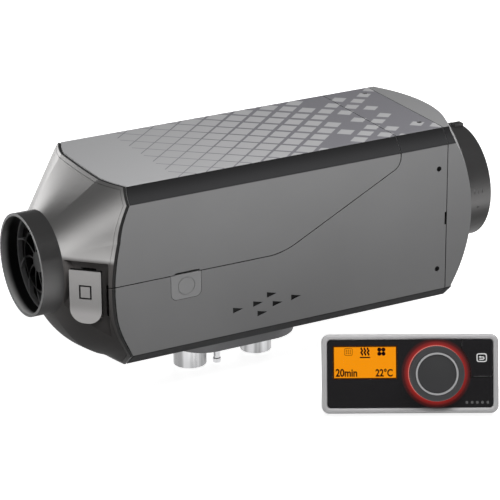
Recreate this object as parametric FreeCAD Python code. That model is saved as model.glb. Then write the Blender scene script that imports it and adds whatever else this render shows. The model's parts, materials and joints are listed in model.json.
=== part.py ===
"""Petrol parking heater with its control panel, in millimetres.

X runs along the air flow from the inlet to the outlet, Z is up, and the origin is the centre of the foot's
underside, the face that is bolted to the vehicle's floor.
"""
import FreeCAD, Part
import math
import os

Vec = FreeCAD.Vector
X_DIR = Vec(1, 0, 0)
Y_DIR = Vec(0, 1, 0)
Z_DIR = Vec(0, 0, 1)

# Clearances
FIT = 0.15              # between fixed pieces that seat on each other
PRESS = 0.02            # on the shaft and in the bearing seats
RUN = 0.05              # radial, of a turning or sliding pin
SLIDE = 0.25            # around a cover that is lifted off

# Casing
CASE_W = 148.0          # across the flat sides
CASE_H = 162.0          # underside to top
CASE_LIFT = 15.0        # underside above the mounting face
AXIS_UP = 82.5          # air axis above the underside
TOP_BEVEL_IN = 9.5
TOP_BEVEL_DOWN = 13.0
BASE_BEVEL_IN = 12.5
BASE_BEVEL_UP = 11.5
EDGE_R = 1.6            # outer edge rounding
INNER_EDGE_R = 0.8
WALL = 2.5
SEAM_X = 187.0          # outlet end of the lower casing
SEAM_GAP = 0.8
SEAM_NOTCH_DOWN = 3.5   # its middle below the air axis
SEAM_NOTCH_H = 12.0
SEAM_NOTCH_W = 1.6

# Parting line between the lower casing and the upper cover
PART_UP = 78.0          # above the casing's underside
RISE_X = 20.0           # where the line starts to rise
RISE_DEG = 26.6
COVER_END_X = 138.5
RISE_LOW_R = 63.0
RISE_HIGH_R = 12.0
PART_GAP = 0.9
LIP_H = 4.0             # locating lip behind the parting line
LIP_T = 1.6

# Inlet hood: a flare from the round collar to the casing
INLET_R = 45.0          # collar, outside
COLLAR_WALL = 2.4
INLET_COLLAR_L = 19.5
FLARE_RUN = 31.0        # collar to where the flare meets the flat sides
FLARE_CORNER_RUN = 47.5 # collar to where it meets the casing's corners
FLARE_CORNER_R = 104.0
FLARE_CORNER_X = -126.0
FLARE_PAST = 20.0       # the flare's surface goes on, for cutting
CHEEK = 4.0             # the flare's sides fall in above the air axis, at their meeting with the casing
CHIN = 11.6             # the flare's underside bulges below a straight line
CHIN_RUN = 42.0         # collar to the end of the bulge
CHIN_FROM = 0.55        # sine of the angle below the air axis where it starts
CHIN_STEPS = 6          # sections that form it
CHIN_POWER = 1.5        # the bulge follows t (1 - t)^power along its run
HOOD_T = 3.2            # along X
SKIRT_T = 2.0
SKIRT_L = 11.0          # reach into the casing
RIM_T = 1.4             # hard rim in front of the seal, along X
SEAL_W = 1.5
SEAL_RECESS = 0.7       # below the casing's surface

# Guard inside the inlet collar
GUARD_SETBACK = 15.0    # behind the collar's rim
GUARD_T = 4.0
GUARD_RIM = 2.2
GUARD_RING_R = 27.0
GUARD_HUB_R = 9.0
GUARD_RIB_W = 1.6
GUARD_RIBS = 10
GUARD_SWEEP_R = 30.0    # of the curved ribs

# Hood latches
LATCH_IN = 15.5         # middle of the latch inside the casing's flat side
LATCH_W = 28.0
LATCH_TOP = 10.7        # above the air axis
LATCH_FOOT = 37.0       # below the air axis
LATCH_FOOT_R = 12.5
LATCH_TOP_R = 1.0
LATCH_STAND = 1.5       # back face off the flare
LATCH_T = 3.7
LATCH_PIVOT_DOWN = 31.0 # below the air axis
LATCH_PIVOT_IN = 3.7    # behind the latch's back face
LATCH_PIN_R = 1.2
LATCH_KNUCKLE_R = 2.0
LATCH_KNUCKLE_W = 18.0
LATCH_LUG_R = 2.5
LATCH_LUG_W = 3.0
LATCH_PAD_W = 11.0      # square outlined on the face
LATCH_PAD_H = 12.6
LATCH_PAD_DOWN = 8.7
LATCH_GROOVE = 1.4
LATCH_GROOVE_DEPTH = 1.6
HOOK_W = 10.0
HOOK_H = 4.0
HOOK_DROP = 3.0         # below the latch's top
HOOK_CLEAR = 1.6
POCKET_DEPTH = 5.5      # of the recess around the latch
POCKET_TOP = 5.3        # above the latch
POCKET_LEFT = 8.0       # beside the latch
POCKET_RING = 1.0       # left around the collar's root
POCKET_RIGHT = 4.7
POCKET_WALL = 2.2
SIDE_SLOT_W = 3.6       # beside the latch, through the recess's floor
SIDE_SLOT_TOP = 5.0     # below the air axis
SIDE_SLOT_L = 28.0

# Outlet hood
OUTLET_R = 52.0         # collar, outside
DOME_R = 150.0
OUTLET_HOOD_L = 26.5    # seam to dome, at the flat sides
OUTLET_REACH = 35.5     # and on to the collar's rim
OUTLET_SKIRT_L = 16.0
OUTLET_SKIRT_T = 2.0
OUTLET_BAND_L = 6.0     # thick band that carries the skirt
OUTLET_LUG_W = 7.0      # key on top of the collar
OUTLET_LUG_L = 9.0
OUTLET_LUG_H = 2.4
NICKS = 3               # short grooves on the collar's near side
NICK_PITCH = 4.0
NICK_SETBACK = 9.5      # first one from the collar's rim
NICK_UP = 6.2           # above the air axis
NICK_L = 4.5
NICK_W = 1.0
NICK_DEPTH = 0.6
DIMPLE_R = 0.9          # below the middle groove
DIMPLE_DOWN = 9.2       # below the air axis

# Screws that hold the outlet hood
SCREW_SETBACK = 8.5     # side screws from the seam
SCREW_TOP_SETBACK = 11.0
SCREW_HEAD_R = 2.3
SCREW_HEAD_H = 1.7
SCREW_R = 1.5
SCREW_L = 9.0
SCREW_SOCKET_R = 1.4
SCREW_SOCKET_DEPTH = 1.1
SCREW_SIDE_UP = 44.5    # side screws above the air axis
SCREW_SIDE_DOWN = 50.5  # and below it
SCREW_TOP_NEAR = 43.5   # top screws from the middle
SCREW_TOP_FAR = 50.5

# Cable notch, blind plug and gland
NOTCH_X = -73.5
NOTCH_W = 29.5
NOTCH_H = 23.5
NOTCH_R = 6.0
PLUG_GAP = 0.4          # around the insert's face
PLUG_LIP = 2.5
PLUG_LIP_T = 2.0
PRY_W = 23.5            # pry slot in the cover's edge above the plug
PRY_H = 1.4
PRY_SHIFT = 1.0         # along X from the plug's middle
PLUG_RING_R = 8.2       # shallow groove on the plug's face
PLUG_RING_W = 0.7
PLUG_RING_DEPTH = 0.4
GLAND_R = 9.0
GLAND_BORE_R = 6.0
GLAND_L = 9.0

# Flow marks on the near side: place along X and height above the casing's underside
MARK_L = 10.0
MARK_H = 5.3
MARK_DEPTH = 0.8
MARKS = [(4.6, 41.8), (-9.0, 36.0), (10.2, 32.4), (28.7, 34.6), (-28.8, 34.0), (-4.8, 26.2)]

# Foot: flange, plinth and ports of the heat exchanger casting
FOOT_L = 118.0
FOOT_W = 92.0
FOOT_R = 30.0
FOOT_T = 8.0
PLINTH_L = 104.0
PLINTH_W = 76.0
PLINTH_R = 24.0
PLINTH_CLEAR = 0.6      # below the exchanger's flange
NECK_SEAL_T = 4.0
NECK_SEAL_H = 7.0
BOLT_SPACING_X = 86.0
BOLT_SPACING_Y = 60.0
BOLT_TAP_R = 2.5
BOLT_DEPTH = 14.0
PORT_X = 33.4           # spigots left and right of the middle
AIR_SPIGOT_R = 15.0
EXHAUST_SPIGOT_R = 14.2
SPIGOT_WALL = 1.5
SPIGOT_DROP = 26.5      # below the mounting face
SPIGOT_SEAT = 20.0      # pressed into the casting
SPIGOT_STEP = 0.6       # seat's radius below the spigot's
SPIGOT_NECK = 0.5       # from the spigot's shoulder to the mounting face
FUEL_X = -11.0
FUEL_Y = -9.0
FUEL_R = 3.0
FUEL_BORE_R = 1.8
FUEL_DROP = 28.0
FUEL_BARB_R = 3.7
FUEL_BARB_L = 5.0

# Heat exchanger and burner
TUBE_R = 46.0
TUBE_WALL = 4.0
TUBE_X0 = -22.0
TUBE_L = 202.0
TUBE_END_T = 4.0
TUBE_FLANGE_R = 57.0
TUBE_FLANGE_T = 6.0
FIN_COUNT = 28
FIN_R = 62.0
FIN_T = 2.0
FIN_X0 = 8.0
WEB_W = 60.0
WEB_L = 70.0
BURNER_PLATE_T = 3.5
BURNER_R = 27.0
BURNER_L = 24.0
BURNER_WALL = 1.5
BURNER_AIR_R = 13.0
FLAME_WALL = 1.2
FLAME_X0 = -2.0
FLAME_L = 150.0
PLUG_X = -4.0           # glow plug
PLUG_TIP_R = 2.2
PLUG_BODY_R = 4.0
PLUG_HEX_R = 6.0
PLUG_BOSS_R = 7.5
PLUG_BOSS_TOP = 56.0
SENSOR_X = 100.0
SENSOR_L = 18.0
SENSOR_W = 10.0
SENSOR_H = 8.0

# Combustion blower
GASKET_T = 1.8
BLOWER_R = 50.0
BLOWER_WALL = 3.0
BLOWER_L = 38.0
BLOWER_EAR_T = 6.0
BLOWER_COVER_T = 4.0
BLOWER_BOSS_R = 20.0
BLOWER_BOSS_L = 4.0
STUB_R = 8.0
STUB_BORE_R = 6.0
BLOWER_SCREW_R = 2.0
BLOWER_SCREW_HEAD_R = 3.2
BLOWER_SCREW_HEAD_L = 3.0
BLOWER_SCREW_RING_R = 53.4
WHEEL_R = 40.0
WHEEL_T = 6.0
WHEEL_BLADE_L = 5.0
WHEEL_BLADES = 18
WHEEL_HUB_R = 8.0
WHEEL_GAP = 6.0         # from the blower cover

# Motor, shaft and air fan
SHAFT_R = 3.0
MOTOR_R = 28.0
MOTOR_WALL = 2.0
MOTOR_L = 54.0
MOTOR_END_T = 2.5
BEARING_R = 9.5
BEARING_W = 7.0
BEARING_BOSS_R = 13.0
MAGNET_T = 4.0
MAGNET_L = 30.0
ARMATURE_R = 20.5
ARMATURE_L = 28.0
FAN_HUB_R = 16.0
FAN_HUB_L = 24.0
FAN_R = 42.0
FAN_BLADES = 9
FAN_BLADE_T = 2.0
FAN_BLADE_CHORD = 25.0
FAN_PITCH_DEG = 38.0
FAN_GAP = 8.0           # from the motor
SHAFT_NOSE = 4.0        # past the fan's hub

# Control box on the motor
BOX_L = 54.0
BOX_W = 84.0
BOX_H = 20.0
BOX_WALL = 2.0
BOX_LID_T = 2.0
BOARD_T = 1.6
BOARD_LEDGE = 7.0
BRACKET_L = 34.0
BRACKET_W = 40.0
BRACKET_RISE = 7.0      # box above the motor

# Control panel
PANEL_W = 151.0
PANEL_H = 67.5
PANEL_R = 6.5
PANEL_LEAN = 21.0
PANEL_YAW = -28.4
PANEL_X = 77.1          # middle of the face's lower edge
PANEL_Y = -195.2
PANEL_FOOT_H = 1.0      # frame clear of the floor
PANEL_BASE_DEPTH = 44.0
PANEL_BACK_IN = 3.0     # housing inside the frame's outline
PANEL_BACK_LOW = 1.5    # and above its lower edge
PANEL_WALL = 2.0
FRAME_BORDER = 4.8
FRAME_DEPTH = 6.0
FRAME_EDGE_R = 2.3      # rounding of the frame's front
FACE_R = 3.0
FACE_LEDGE = 1.5
FACE_SINK = 1.0
FACE_T = 2.5
DISPLAY_H = 28.4
DISPLAY_LEFT = 9.7      # from the panel's left edge
DISPLAY_TOP = 9.7       # from the panel's top edge
DISPLAY_GAP = 5.2       # from the dial's light ring
GLASS_T = 1.2
SMALL_R = 0.5           # corners of the display and the switch
MODULE_RIM = 2.0
DIAL_RIGHT = 53.3       # middle of the dial from the panel's right edge
DIAL_RAISE = 0.45       # above the panel's middle
LIGHT_R = 28.0
LIGHT_BORE_R = 16.0
LIGHT_T = 1.6
DIAL_R = 23.6
DIAL_H = 11.0
DIAL_GAP = 1.2          # dial off the light ring
CAP_R = 16.6
CAP_RIM = 1.5           # bright ring around the cap
CAP_SINK = 0.6          # cap below the dial's front
RING_PROUD = 0.3        # ring above the dial's front
CAP_T = 2.2
CAP_DISH = 0.8
STEM_R = 3.0
STEM_SEAT = 7.0         # reach into the dial
ENCODER_W = 14.0
PLUNGER_L = 1.5
PRESS_TRAVEL = 0.8      # of the dial
BUTTON_W = 26.6
BUTTON_H = 31.4
BUTTON_EDGE = 5.1       # from the panel's right and top edges
BUTTON_GAP = 0.35
BUTTON_PROUD = 0.3
BUTTON_T = 2.0
BUTTON_TRAVEL = 0.6
BUTTON_STEM_R = 2.0
SWITCH_W = 6.0
SWITCH_H = 2.8
PANEL_BOARD_IN = 10.0   # behind the frame's front
PANEL_BOARD_SIDE = 8.0
SOCKET_W = 18.0
SOCKET_H = 10.0
SOCKET_L = 11.0
SOCKET_V = 18.0
PANEL_SCREW_R = 1.5
PANEL_SCREW_HEAD_R = 2.6
PANEL_SCREW_HEAD_L = 1.8
PANEL_SCREW_L = 5.0
PANEL_POST_R = 3.0
POST_SIDE = 13.5        # lower posts from the panel's sides
POST_LOW = 11.0         # lower posts above the panel's lower edge
POST_HIGH = 10.5        # upper post below the panel's top edge
POST_LEFT = 23.2        # upper post from the dial's middle

# Worked out from the sizes above
AXIS_Z = CASE_LIFT + AXIS_UP
CASE_TOP = CASE_LIFT + CASE_H
PART_Z = CASE_LIFT + PART_UP
FLARE_ROOT_X = FLARE_CORNER_X - FLARE_CORNER_RUN
FLARE_RISE = CASE_W / 2 - INLET_R
LATCH_OUT = CASE_W / 2 - LATCH_IN
LATCH_TURN = math.degrees(math.atan2(FLARE_RISE, FLARE_RUN))
LATCH_X = FLARE_ROOT_X + (LATCH_OUT - INLET_R) * FLARE_RUN / FLARE_RISE
INLET_RIM_X = FLARE_ROOT_X - INLET_COLLAR_L
OUTLET_RIM_X = SEAM_X + OUTLET_HOOD_L + OUTLET_REACH
DOME_X = SEAM_X + OUTLET_HOOD_L - math.sqrt(DOME_R ** 2 - (CASE_W / 2) ** 2)
HOOD_INSET = WALL + SLIDE
FAR = 3 * CASE_H        # past everything, for cutting shapes
TUBE_X1 = TUBE_X0 + TUBE_L
GASKET_X = TUBE_X0 - FIT - GASKET_T
BLOWER_X1 = GASKET_X - FIT
BLOWER_X0 = BLOWER_X1 - BLOWER_L
COVER_PLATE_X = BLOWER_X0 - FIT - BLOWER_COVER_T
MOTOR_X1 = COVER_PLATE_X - BLOWER_BOSS_L - FIT
MOTOR_X0 = MOTOR_X1 - MOTOR_L
MOTOR_MID_X = (MOTOR_X0 + MOTOR_X1) / 2
FAN_X1 = MOTOR_X0 - FAN_GAP
FAN_X0 = FAN_X1 - FAN_HUB_L
WHEEL_X0 = BLOWER_X0 + WHEEL_GAP
SHAFT_X0 = FAN_X0 - SHAFT_NOSE
SHAFT_X1 = WHEEL_X0 + WHEEL_T + WHEEL_BLADE_L + SHAFT_NOSE
PLINTH_TOP = AXIS_Z - TUBE_FLANGE_R - PLINTH_CLEAR
BOX_Z0 = AXIS_Z + MOTOR_R + BRACKET_RISE
BOX_X0 = MOTOR_MID_X - BOX_L / 2
AXIS_POINT = Vec(0, 0, AXIS_Z)
DIAL_BACK = FACE_SINK - DIAL_GAP
DIAL_FRONT = DIAL_BACK - DIAL_H
FACE_BACK = FACE_SINK + FACE_T
HOUSING_FRONT = FRAME_DEPTH + FIT
DIAL_U = PANEL_W / 2 - DIAL_RIGHT
DIAL_V = PANEL_H / 2 + DIAL_RAISE
DISPLAY_W = PANEL_W - DISPLAY_LEFT - DISPLAY_GAP - LIGHT_R - DIAL_RIGHT
DISPLAY_U = (DISPLAY_LEFT - DISPLAY_GAP - LIGHT_R - DIAL_RIGHT) / 2
DISPLAY_V = PANEL_H - DISPLAY_TOP - DISPLAY_H / 2
BUTTON_U1 = PANEL_W / 2 - BUTTON_EDGE
BUTTON_U0 = BUTTON_U1 - BUTTON_W
BUTTON_V1 = PANEL_H - BUTTON_EDGE
BUTTON_V0 = BUTTON_V1 - BUTTON_H
PANEL_POSTS = [
    (-PANEL_W / 2 + POST_SIDE, POST_LOW),
    (PANEL_W / 2 - POST_SIDE, POST_LOW),
    (DIAL_U - POST_LEFT, PANEL_H - POST_HIGH),
]
PANEL_LIFT = PANEL_FOOT_H + FRAME_DEPTH * math.sin(math.radians(PANEL_LEAN))


def box(x0, x1, y0, y1, z0, z1):
    return Part.makeBox(x1 - x0, y1 - y0, z1 - z0, Vec(x0, y0, z0))


def rod(radius, x0, x1):
    """Cylinder on the air axis."""
    return Part.makeCylinder(radius, x1 - x0, Vec(x0, 0, AXIS_Z), X_DIR)


def pipe(radius, bore, x0, x1):
    return rod(radius, x0, x1).cut(rod(bore, x0 - 1, x1 + 1))


def post(radius, x, y, z0, z1):
    """Upright cylinder."""
    return Part.makeCylinder(radius, z1 - z0, Vec(x, y, z0), Z_DIR)


def fused(shapes):
    return shapes[0].multiFuse(shapes[1:]).removeSplitter() if len(shapes) > 1 else shapes[0]


def around(shape, count, first_deg=0.0):
    """Copies of a shape, evenly about the air axis."""
    copies = []
    for index in range(count):
        copies.append(shape.rotated(AXIS_POINT, X_DIR, first_deg + index * 360.0 / count))
    return copies


def inset_outline(points, inset):
    """Corners of a convex, counter-clockwise outline moved inwards by inset, outwards if negative."""
    lines = []
    for start, end in zip(points, points[1:] + points[:1]):
        length = math.hypot(end[0] - start[0], end[1] - start[1])
        along = ((end[0] - start[0]) / length, (end[1] - start[1]) / length)
        lines.append((start[0] - along[1] * inset, start[1] + along[0] * inset, along))
    corners = []
    for (ax, ay, a), (bx, by, b) in zip(lines[-1:] + lines[:-1], lines):
        cross = a[0] * b[1] - a[1] * b[0]
        step = ((bx - ax) * b[1] - (by - ay) * b[0]) / cross
        corners.append((ax + a[0] * step, ay + a[1] * step))
    return corners


def rounded_face(points, radii):
    """Flat face through points, each corner rounded by its radius."""
    ends = []
    count = len(points)
    for index, corner in enumerate(points):
        back = (points[index - 1] - corner).normalize()
        ahead = (points[(index + 1) % count] - corner).normalize()
        half = back.getAngle(ahead) / 2
        reach = radii[index] / math.tan(half)
        middle = (back + ahead).normalize()
        inner = corner + middle * (radii[index] / math.sin(half) - radii[index])
        ends.append((corner + back * reach, inner, corner + ahead * reach, radii[index]))
    edges = []
    for index, (start, inner, end, radius) in enumerate(ends):
        if radius > 0:
            edges.append(Part.Arc(start, inner, end).toShape())
        edges.append(Part.LineSegment(end, ends[(index + 1) % count][0]).toShape())
    return Part.Face(Part.Wire(edges))


def rounded_plate(length, width, radius, z0, z1, middle=(0.0, 0.0)):
    """Upright prism on a rounded rectangle."""
    x = length / 2
    y = width / 2
    corners = [(-x, -y), (x, -y), (x, y), (-x, y)]
    points = [Vec(middle[0] + a, middle[1] + b, z0) for a, b in corners]
    return rounded_face(points, [radius] * 4).extrude(Vec(0, 0, z1 - z0))


def casing_outline(inset):
    side = CASE_W / 2
    low = CASE_LIFT
    points = [
        (-side + BASE_BEVEL_IN, low),
        (side - BASE_BEVEL_IN, low),
        (side, low + BASE_BEVEL_UP),
        (side, CASE_TOP - TOP_BEVEL_DOWN),
        (side - TOP_BEVEL_IN, CASE_TOP),
        (-side + TOP_BEVEL_IN, CASE_TOP),
        (-side, CASE_TOP - TOP_BEVEL_DOWN),
        (-side, low + BASE_BEVEL_UP),
    ]
    return inset_outline(points, inset)


def casing_prism(inset, x0, x1):
    """The casing's section, moved inwards by inset, drawn out along X."""
    points = [Vec(x0, y, z) for y, z in casing_outline(inset)]
    radius = max(EDGE_R - inset, INNER_EDGE_R)
    return rounded_face(points, [radius] * len(points)).extrude(Vec(x1 - x0, 0, 0))


def casing_ring(inset, thickness, x0, x1):
    return casing_prism(inset, x0, x1).cut(casing_prism(inset + thickness, x0 - 1, x1 + 1))


def cover_region(grow):
    """Everything above the parting line, moved outwards by grow."""
    rise = (COVER_END_X - RISE_X) * math.tan(math.radians(RISE_DEG))
    points = [
        (-FAR, PART_Z),
        (RISE_X, PART_Z),
        (COVER_END_X, PART_Z + rise),
        (COVER_END_X, FAR),
        (-FAR, FAR),
    ]
    radii = [0, RISE_LOW_R + grow, RISE_HIGH_R + grow, 0, 0]
    corners = [Vec(x, -FAR, z) for x, z in inset_outline(points, -grow)]
    return rounded_face(corners, radii).extrude(Vec(0, 2 * FAR, 0))


def chin_share(deg):
    """Share of the bulge at an angle about the air axis: none at the sides, all of it straight down."""
    down = (-math.sin(math.radians(deg)) - CHIN_FROM) / (1 - CHIN_FROM)
    down = min(1.0, max(0.0, down))
    return down * down * (3 - 2 * down)


def cheek_share(deg, split):
    """Share of the sides' fall at an angle about the air axis: all of it at the angle split above each side."""
    above = math.degrees(math.asin(math.sin(math.radians(deg))))
    return max(0.0, 1 - (above / split - 1) ** 2)


def eight_arcs(x, reach, corner_r, split, bulge, fall):
    """Closed outline at x about the air axis: four sides at the distance reach, joined by rounded corners.

    Each quarter is cut at the angles split and 90 - split, so that such outlines pair up edge by edge.
    With a corner radius equal to reach, the outline is a circle.
    """
    def place(deg):
        turn = math.radians(deg)
        flat = math.degrees(math.atan2(reach - corner_r, reach))
        inside = deg % 90.0
        if flat > 0 and (inside <= flat + 1e-9 or inside >= 90.0 - flat - 1e-9):
            far = reach / max(abs(math.cos(turn)), abs(math.sin(turn)))
        else:
            middle = (reach - corner_r) * math.sqrt(2)
            skew = math.radians(inside - 45.0)
            far = middle * math.cos(skew) + math.sqrt(corner_r ** 2 - (middle * math.sin(skew)) ** 2)
        far += bulge * chin_share(deg) - fall * cheek_share(deg, split)
        return Vec(x, far * math.cos(turn), AXIS_Z + far * math.sin(turn))

    edges = []
    for quarter in range(4):
        base = 90.0 * quarter
        for start, end in ((base - split, base + split), (base + split, base + 90.0 - split)):
            ends = [place(start), place((start + end) / 2), place(end)]
            straight = (ends[1] - (ends[0] + ends[2]) * 0.5).Length < 1e-6
            line = Part.LineSegment(ends[0], ends[2]) if straight else Part.Arc(*ends)
            edges.append(line.toShape())
    return Part.Wire(edges)


def flare_reach(run):
    """Distance of the flare's sides and radius of its corners, run behind the collar."""
    reach = INLET_R + run * FLARE_RISE / FLARE_RUN
    corner = INLET_R + run * (FLARE_CORNER_R - INLET_R) / FLARE_CORNER_RUN
    return reach, (reach * math.sqrt(2) - corner) / (math.sqrt(2) - 1)


def behind_flare(shift):
    """Everything on the casing's side of the flare, which is moved along X by shift."""
    end = FLARE_CORNER_RUN + FLARE_PAST
    wide_reach, wide_corner = flare_reach(end)
    split = math.degrees(math.atan2(wide_reach - wide_corner, wide_reach))
    root_x = FLARE_ROOT_X + shift
    top = 1 / (1 + CHIN_POWER)
    most = top * (1 - top) ** CHIN_POWER
    outlines = []
    for run in [CHIN_RUN * step / CHIN_STEPS for step in range(CHIN_STEPS + 1)] + [end]:
        part = min(1.0, run / CHIN_RUN)
        bulge = CHIN * part * (1 - part) ** CHIN_POWER / most
        fall = CHEEK * run / FLARE_RUN
        outlines.append(eight_arcs(root_x + run, *flare_reach(run), split, bulge, fall))
    flare = Part.makeLoft(outlines, True, False)
    return flare.fuse(box(root_x + end, FAR, -FAR, FAR, -FAR, FAR))


def mirrored(shape):
    """The same shape on the far side."""
    return shape.mirror(Vec(0, 0, 0), Y_DIR)


def notch_face(grow, y):
    """U-shaped outline of the cable notch on the plane at y; it is open at the parting line."""
    half = NOTCH_W / 2 + grow
    low = PART_Z - NOTCH_H - grow
    high = PART_Z + PART_GAP
    points = [
        Vec(NOTCH_X - half, y, low),
        Vec(NOTCH_X + half, y, low),
        Vec(NOTCH_X + half, y, high),
        Vec(NOTCH_X - half, y, high),
    ]
    return rounded_face(points, [NOTCH_R + grow, NOTCH_R + grow, 0, 0])


def flow_mark(x, up):
    """Arrowhead pocket pointing along the flow, cut into the near side."""
    y = -CASE_W / 2 - 1
    z = CASE_LIFT + up
    points = [Vec(x, y, z - MARK_H / 2), Vec(x + MARK_L, y, z), Vec(x, y, z + MARK_H / 2)]
    outline = Part.makePolygon(points + points[:1])
    return Part.Face(outline).extrude(Vec(0, 1 + MARK_DEPTH, 0))


def screw_places():
    """Point on the casing's surface and inward direction of each outlet hood screw."""
    x = SEAM_X - SCREW_SETBACK
    top_x = SEAM_X - SCREW_TOP_SETBACK
    places = []
    for sign, top_y in ((-1, -SCREW_TOP_NEAR), (1, SCREW_TOP_FAR)):
        for up in (-SCREW_SIDE_DOWN, SCREW_SIDE_UP):
            places.append((Vec(x, sign * CASE_W / 2, AXIS_Z + up), Vec(0, -sign, 0)))
        places.append((Vec(top_x, top_y, CASE_TOP), Vec(0, 0, -1)))
    return places


def hexagon_spokes(axis, radius):
    """Seven vectors square to axis that go once round a hexagon."""
    first = axis.cross(X_DIR if abs(axis.x) < 0.5 else Z_DIR).normalize() * radius
    turns = [FreeCAD.Rotation(axis, 60.0 * step) for step in range(7)]
    return [turn.multVec(first) for turn in turns]


def screw_holes(radius, start, end):
    """Cylinders on the outlet screws' axes, from start to end below the casing's surface."""
    holes = []
    for point, inward in screw_places():
        holes.append(Part.makeCylinder(radius, end - start, point + inward * start, inward))
    return holes


def lower_casing():
    shell = casing_ring(0, WALL, FLARE_ROOT_X, SEAM_X)
    shell = shell.cut(cover_region(PART_GAP))
    # Lip behind the cover's edge
    lip_x0 = FLARE_CORNER_X + SKIRT_L + 2 * SEAL_W
    edge_band = cover_region(LIP_H + PART_GAP).cut(cover_region(-LIP_H))
    root_band = cover_region(LIP_H + PART_GAP).cut(cover_region(PART_GAP))
    lip = casing_ring(WALL + SLIDE, LIP_T, lip_x0, SEAM_X - OUTLET_SKIRT_L - 1).common(edge_band)
    root = casing_ring(WALL, SLIDE + LIP_T, lip_x0, SEAM_X - OUTLET_SKIRT_L - 1).common(root_band)
    shell = fused([shell, lip, root])
    shell = shell.common(behind_flare(RIM_T + SEAL_W))
    shell = shell.cut(rounded_plate(
        PLINTH_L + 2 * NECK_SEAL_T, PLINTH_W + 2 * NECK_SEAL_T, PLINTH_R + NECK_SEAL_T,
        CASE_LIFT - 1, CASE_LIFT + WALL + 1))
    notch = notch_face(0, -CASE_W).extrude(Vec(0, CASE_W, 0))
    tools = [notch, mirrored(notch)]
    tools += screw_holes(SCREW_HEAD_R + FIT, -1, WALL + FIT)
    tools += [flow_mark(x, up) for x, up in MARKS]
    notch_z = AXIS_Z - SEAM_NOTCH_DOWN
    seam_notch = box(SEAM_X - SEAM_NOTCH_W, SEAM_X + 1, -CASE_W, CASE_W,
                     notch_z - SEAM_NOTCH_H / 2, notch_z + SEAM_NOTCH_H / 2)
    return shell.cut(tools + [seam_notch])


def upper_cover():
    shell = casing_ring(0, WALL, FLARE_ROOT_X, COVER_END_X + 1).common(cover_region(0))
    pry_x = NOTCH_X + PRY_SHIFT
    pry = box(pry_x - PRY_W / 2, pry_x + PRY_W / 2, -CASE_W, 0, PART_Z - 1, PART_Z + PRY_H)
    return shell.common(behind_flare(RIM_T + SEAL_W)).cut(pry)


def seam_strip(inset, start, end):
    """Strip along the casing's inlet end, between two places behind the flare's surface."""
    strip = casing_ring(inset, WALL - inset, FLARE_ROOT_X, 0)
    return strip.common(behind_flare(start)).cut(behind_flare(end))


def seam_rim():
    """Hard rim that carries the flare's surface on across the casing's wall."""
    return seam_strip(0, 0, RIM_T - RUN)


def seam_seal():
    """Soft strip between the rim and the casing's end."""
    return seam_strip(SEAL_RECESS, RIM_T, RIM_T + SEAL_W - RUN)


def below_parting(shape):
    return shape.cut(cover_region(PART_GAP))


def above_parting(shape):
    return shape.common(cover_region(0))


def latch_frame(shape):
    """Move a shape from the latch's own frame (x across, -y outwards, z up) to the near side of the hood."""
    turned = shape.rotated(Vec(0, 0, 0), Z_DIR, -LATCH_TURN)
    return turned.translated(Vec(LATCH_X, -LATCH_OUT, AXIS_Z))


def latch_pivot_y():
    return -LATCH_STAND + LATCH_PIVOT_IN


def latch_cylinder(radius, x0, x1):
    """Cylinder on the latch's pivot line."""
    return Part.makeCylinder(radius, x1 - x0, Vec(x0, latch_pivot_y(), -LATCH_PIVOT_DOWN), X_DIR)


def latch():
    back = -LATCH_STAND
    front = back - LATCH_T
    half = LATCH_W / 2
    points = [
        Vec(-half, front, -LATCH_FOOT),
        Vec(half, front, -LATCH_FOOT),
        Vec(half, front, LATCH_TOP),
        Vec(-half, front, LATCH_TOP),
    ]
    radii = [LATCH_FOOT_R, LATCH_FOOT_R, LATCH_TOP_R, LATCH_TOP_R]
    plate = rounded_face(points, radii).extrude(Vec(0, LATCH_T, 0))
    pad_x = LATCH_PAD_W / 2
    pad_z0 = -LATCH_PAD_DOWN - LATCH_PAD_H / 2
    pad_z1 = -LATCH_PAD_DOWN + LATCH_PAD_H / 2
    floor = front + LATCH_GROOVE_DEPTH
    groove = box(-pad_x, pad_x, front - 1, floor, pad_z0, pad_z1)
    groove = groove.cut(box(-pad_x + LATCH_GROOVE, pad_x - LATCH_GROOVE, front - 2, floor + 1,
                            pad_z0 + LATCH_GROOVE, pad_z1 - LATCH_GROOVE))
    half_knuckle = LATCH_KNUCKLE_W / 2
    arm = box(-half_knuckle, half_knuckle, back - 1, latch_pivot_y(),
              -LATCH_PIVOT_DOWN - LATCH_KNUCKLE_R, -LATCH_PIVOT_DOWN + LATCH_KNUCKLE_R)
    knuckle = latch_cylinder(LATCH_KNUCKLE_R, -half_knuckle, half_knuckle)
    hook_top = LATCH_TOP - HOOK_DROP
    hook = box(-HOOK_W / 2, HOOK_W / 2, back - 1, POCKET_DEPTH + POCKET_WALL, hook_top - HOOK_H, hook_top)
    lever = fused([plate.cut(groove), arm, knuckle, hook])
    return latch_frame(lever.cut(latch_cylinder(LATCH_PIN_R + RUN, -LATCH_W, LATCH_W)))


def latch_pin():
    reach = LATCH_KNUCKLE_W / 2 + FIT + LATCH_LUG_W
    return latch_frame(latch_cylinder(LATCH_PIN_R, -reach, reach))


def latch_lugs():
    """Two ears on the recess's floor that carry the latch's pin."""
    ears = []
    start = LATCH_KNUCKLE_W / 2 + FIT
    for x0 in (start, -start - LATCH_LUG_W):
        nose = latch_cylinder(LATCH_LUG_R, x0, x0 + LATCH_LUG_W)
        web = box(x0, x0 + LATCH_LUG_W, latch_pivot_y(), POCKET_DEPTH + POCKET_WALL,
                  -LATCH_PIVOT_DOWN - LATCH_LUG_R, -LATCH_PIVOT_DOWN + LATCH_LUG_R)
        ears += [nose, web]
    return [latch_frame(ear) for ear in ears]


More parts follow.
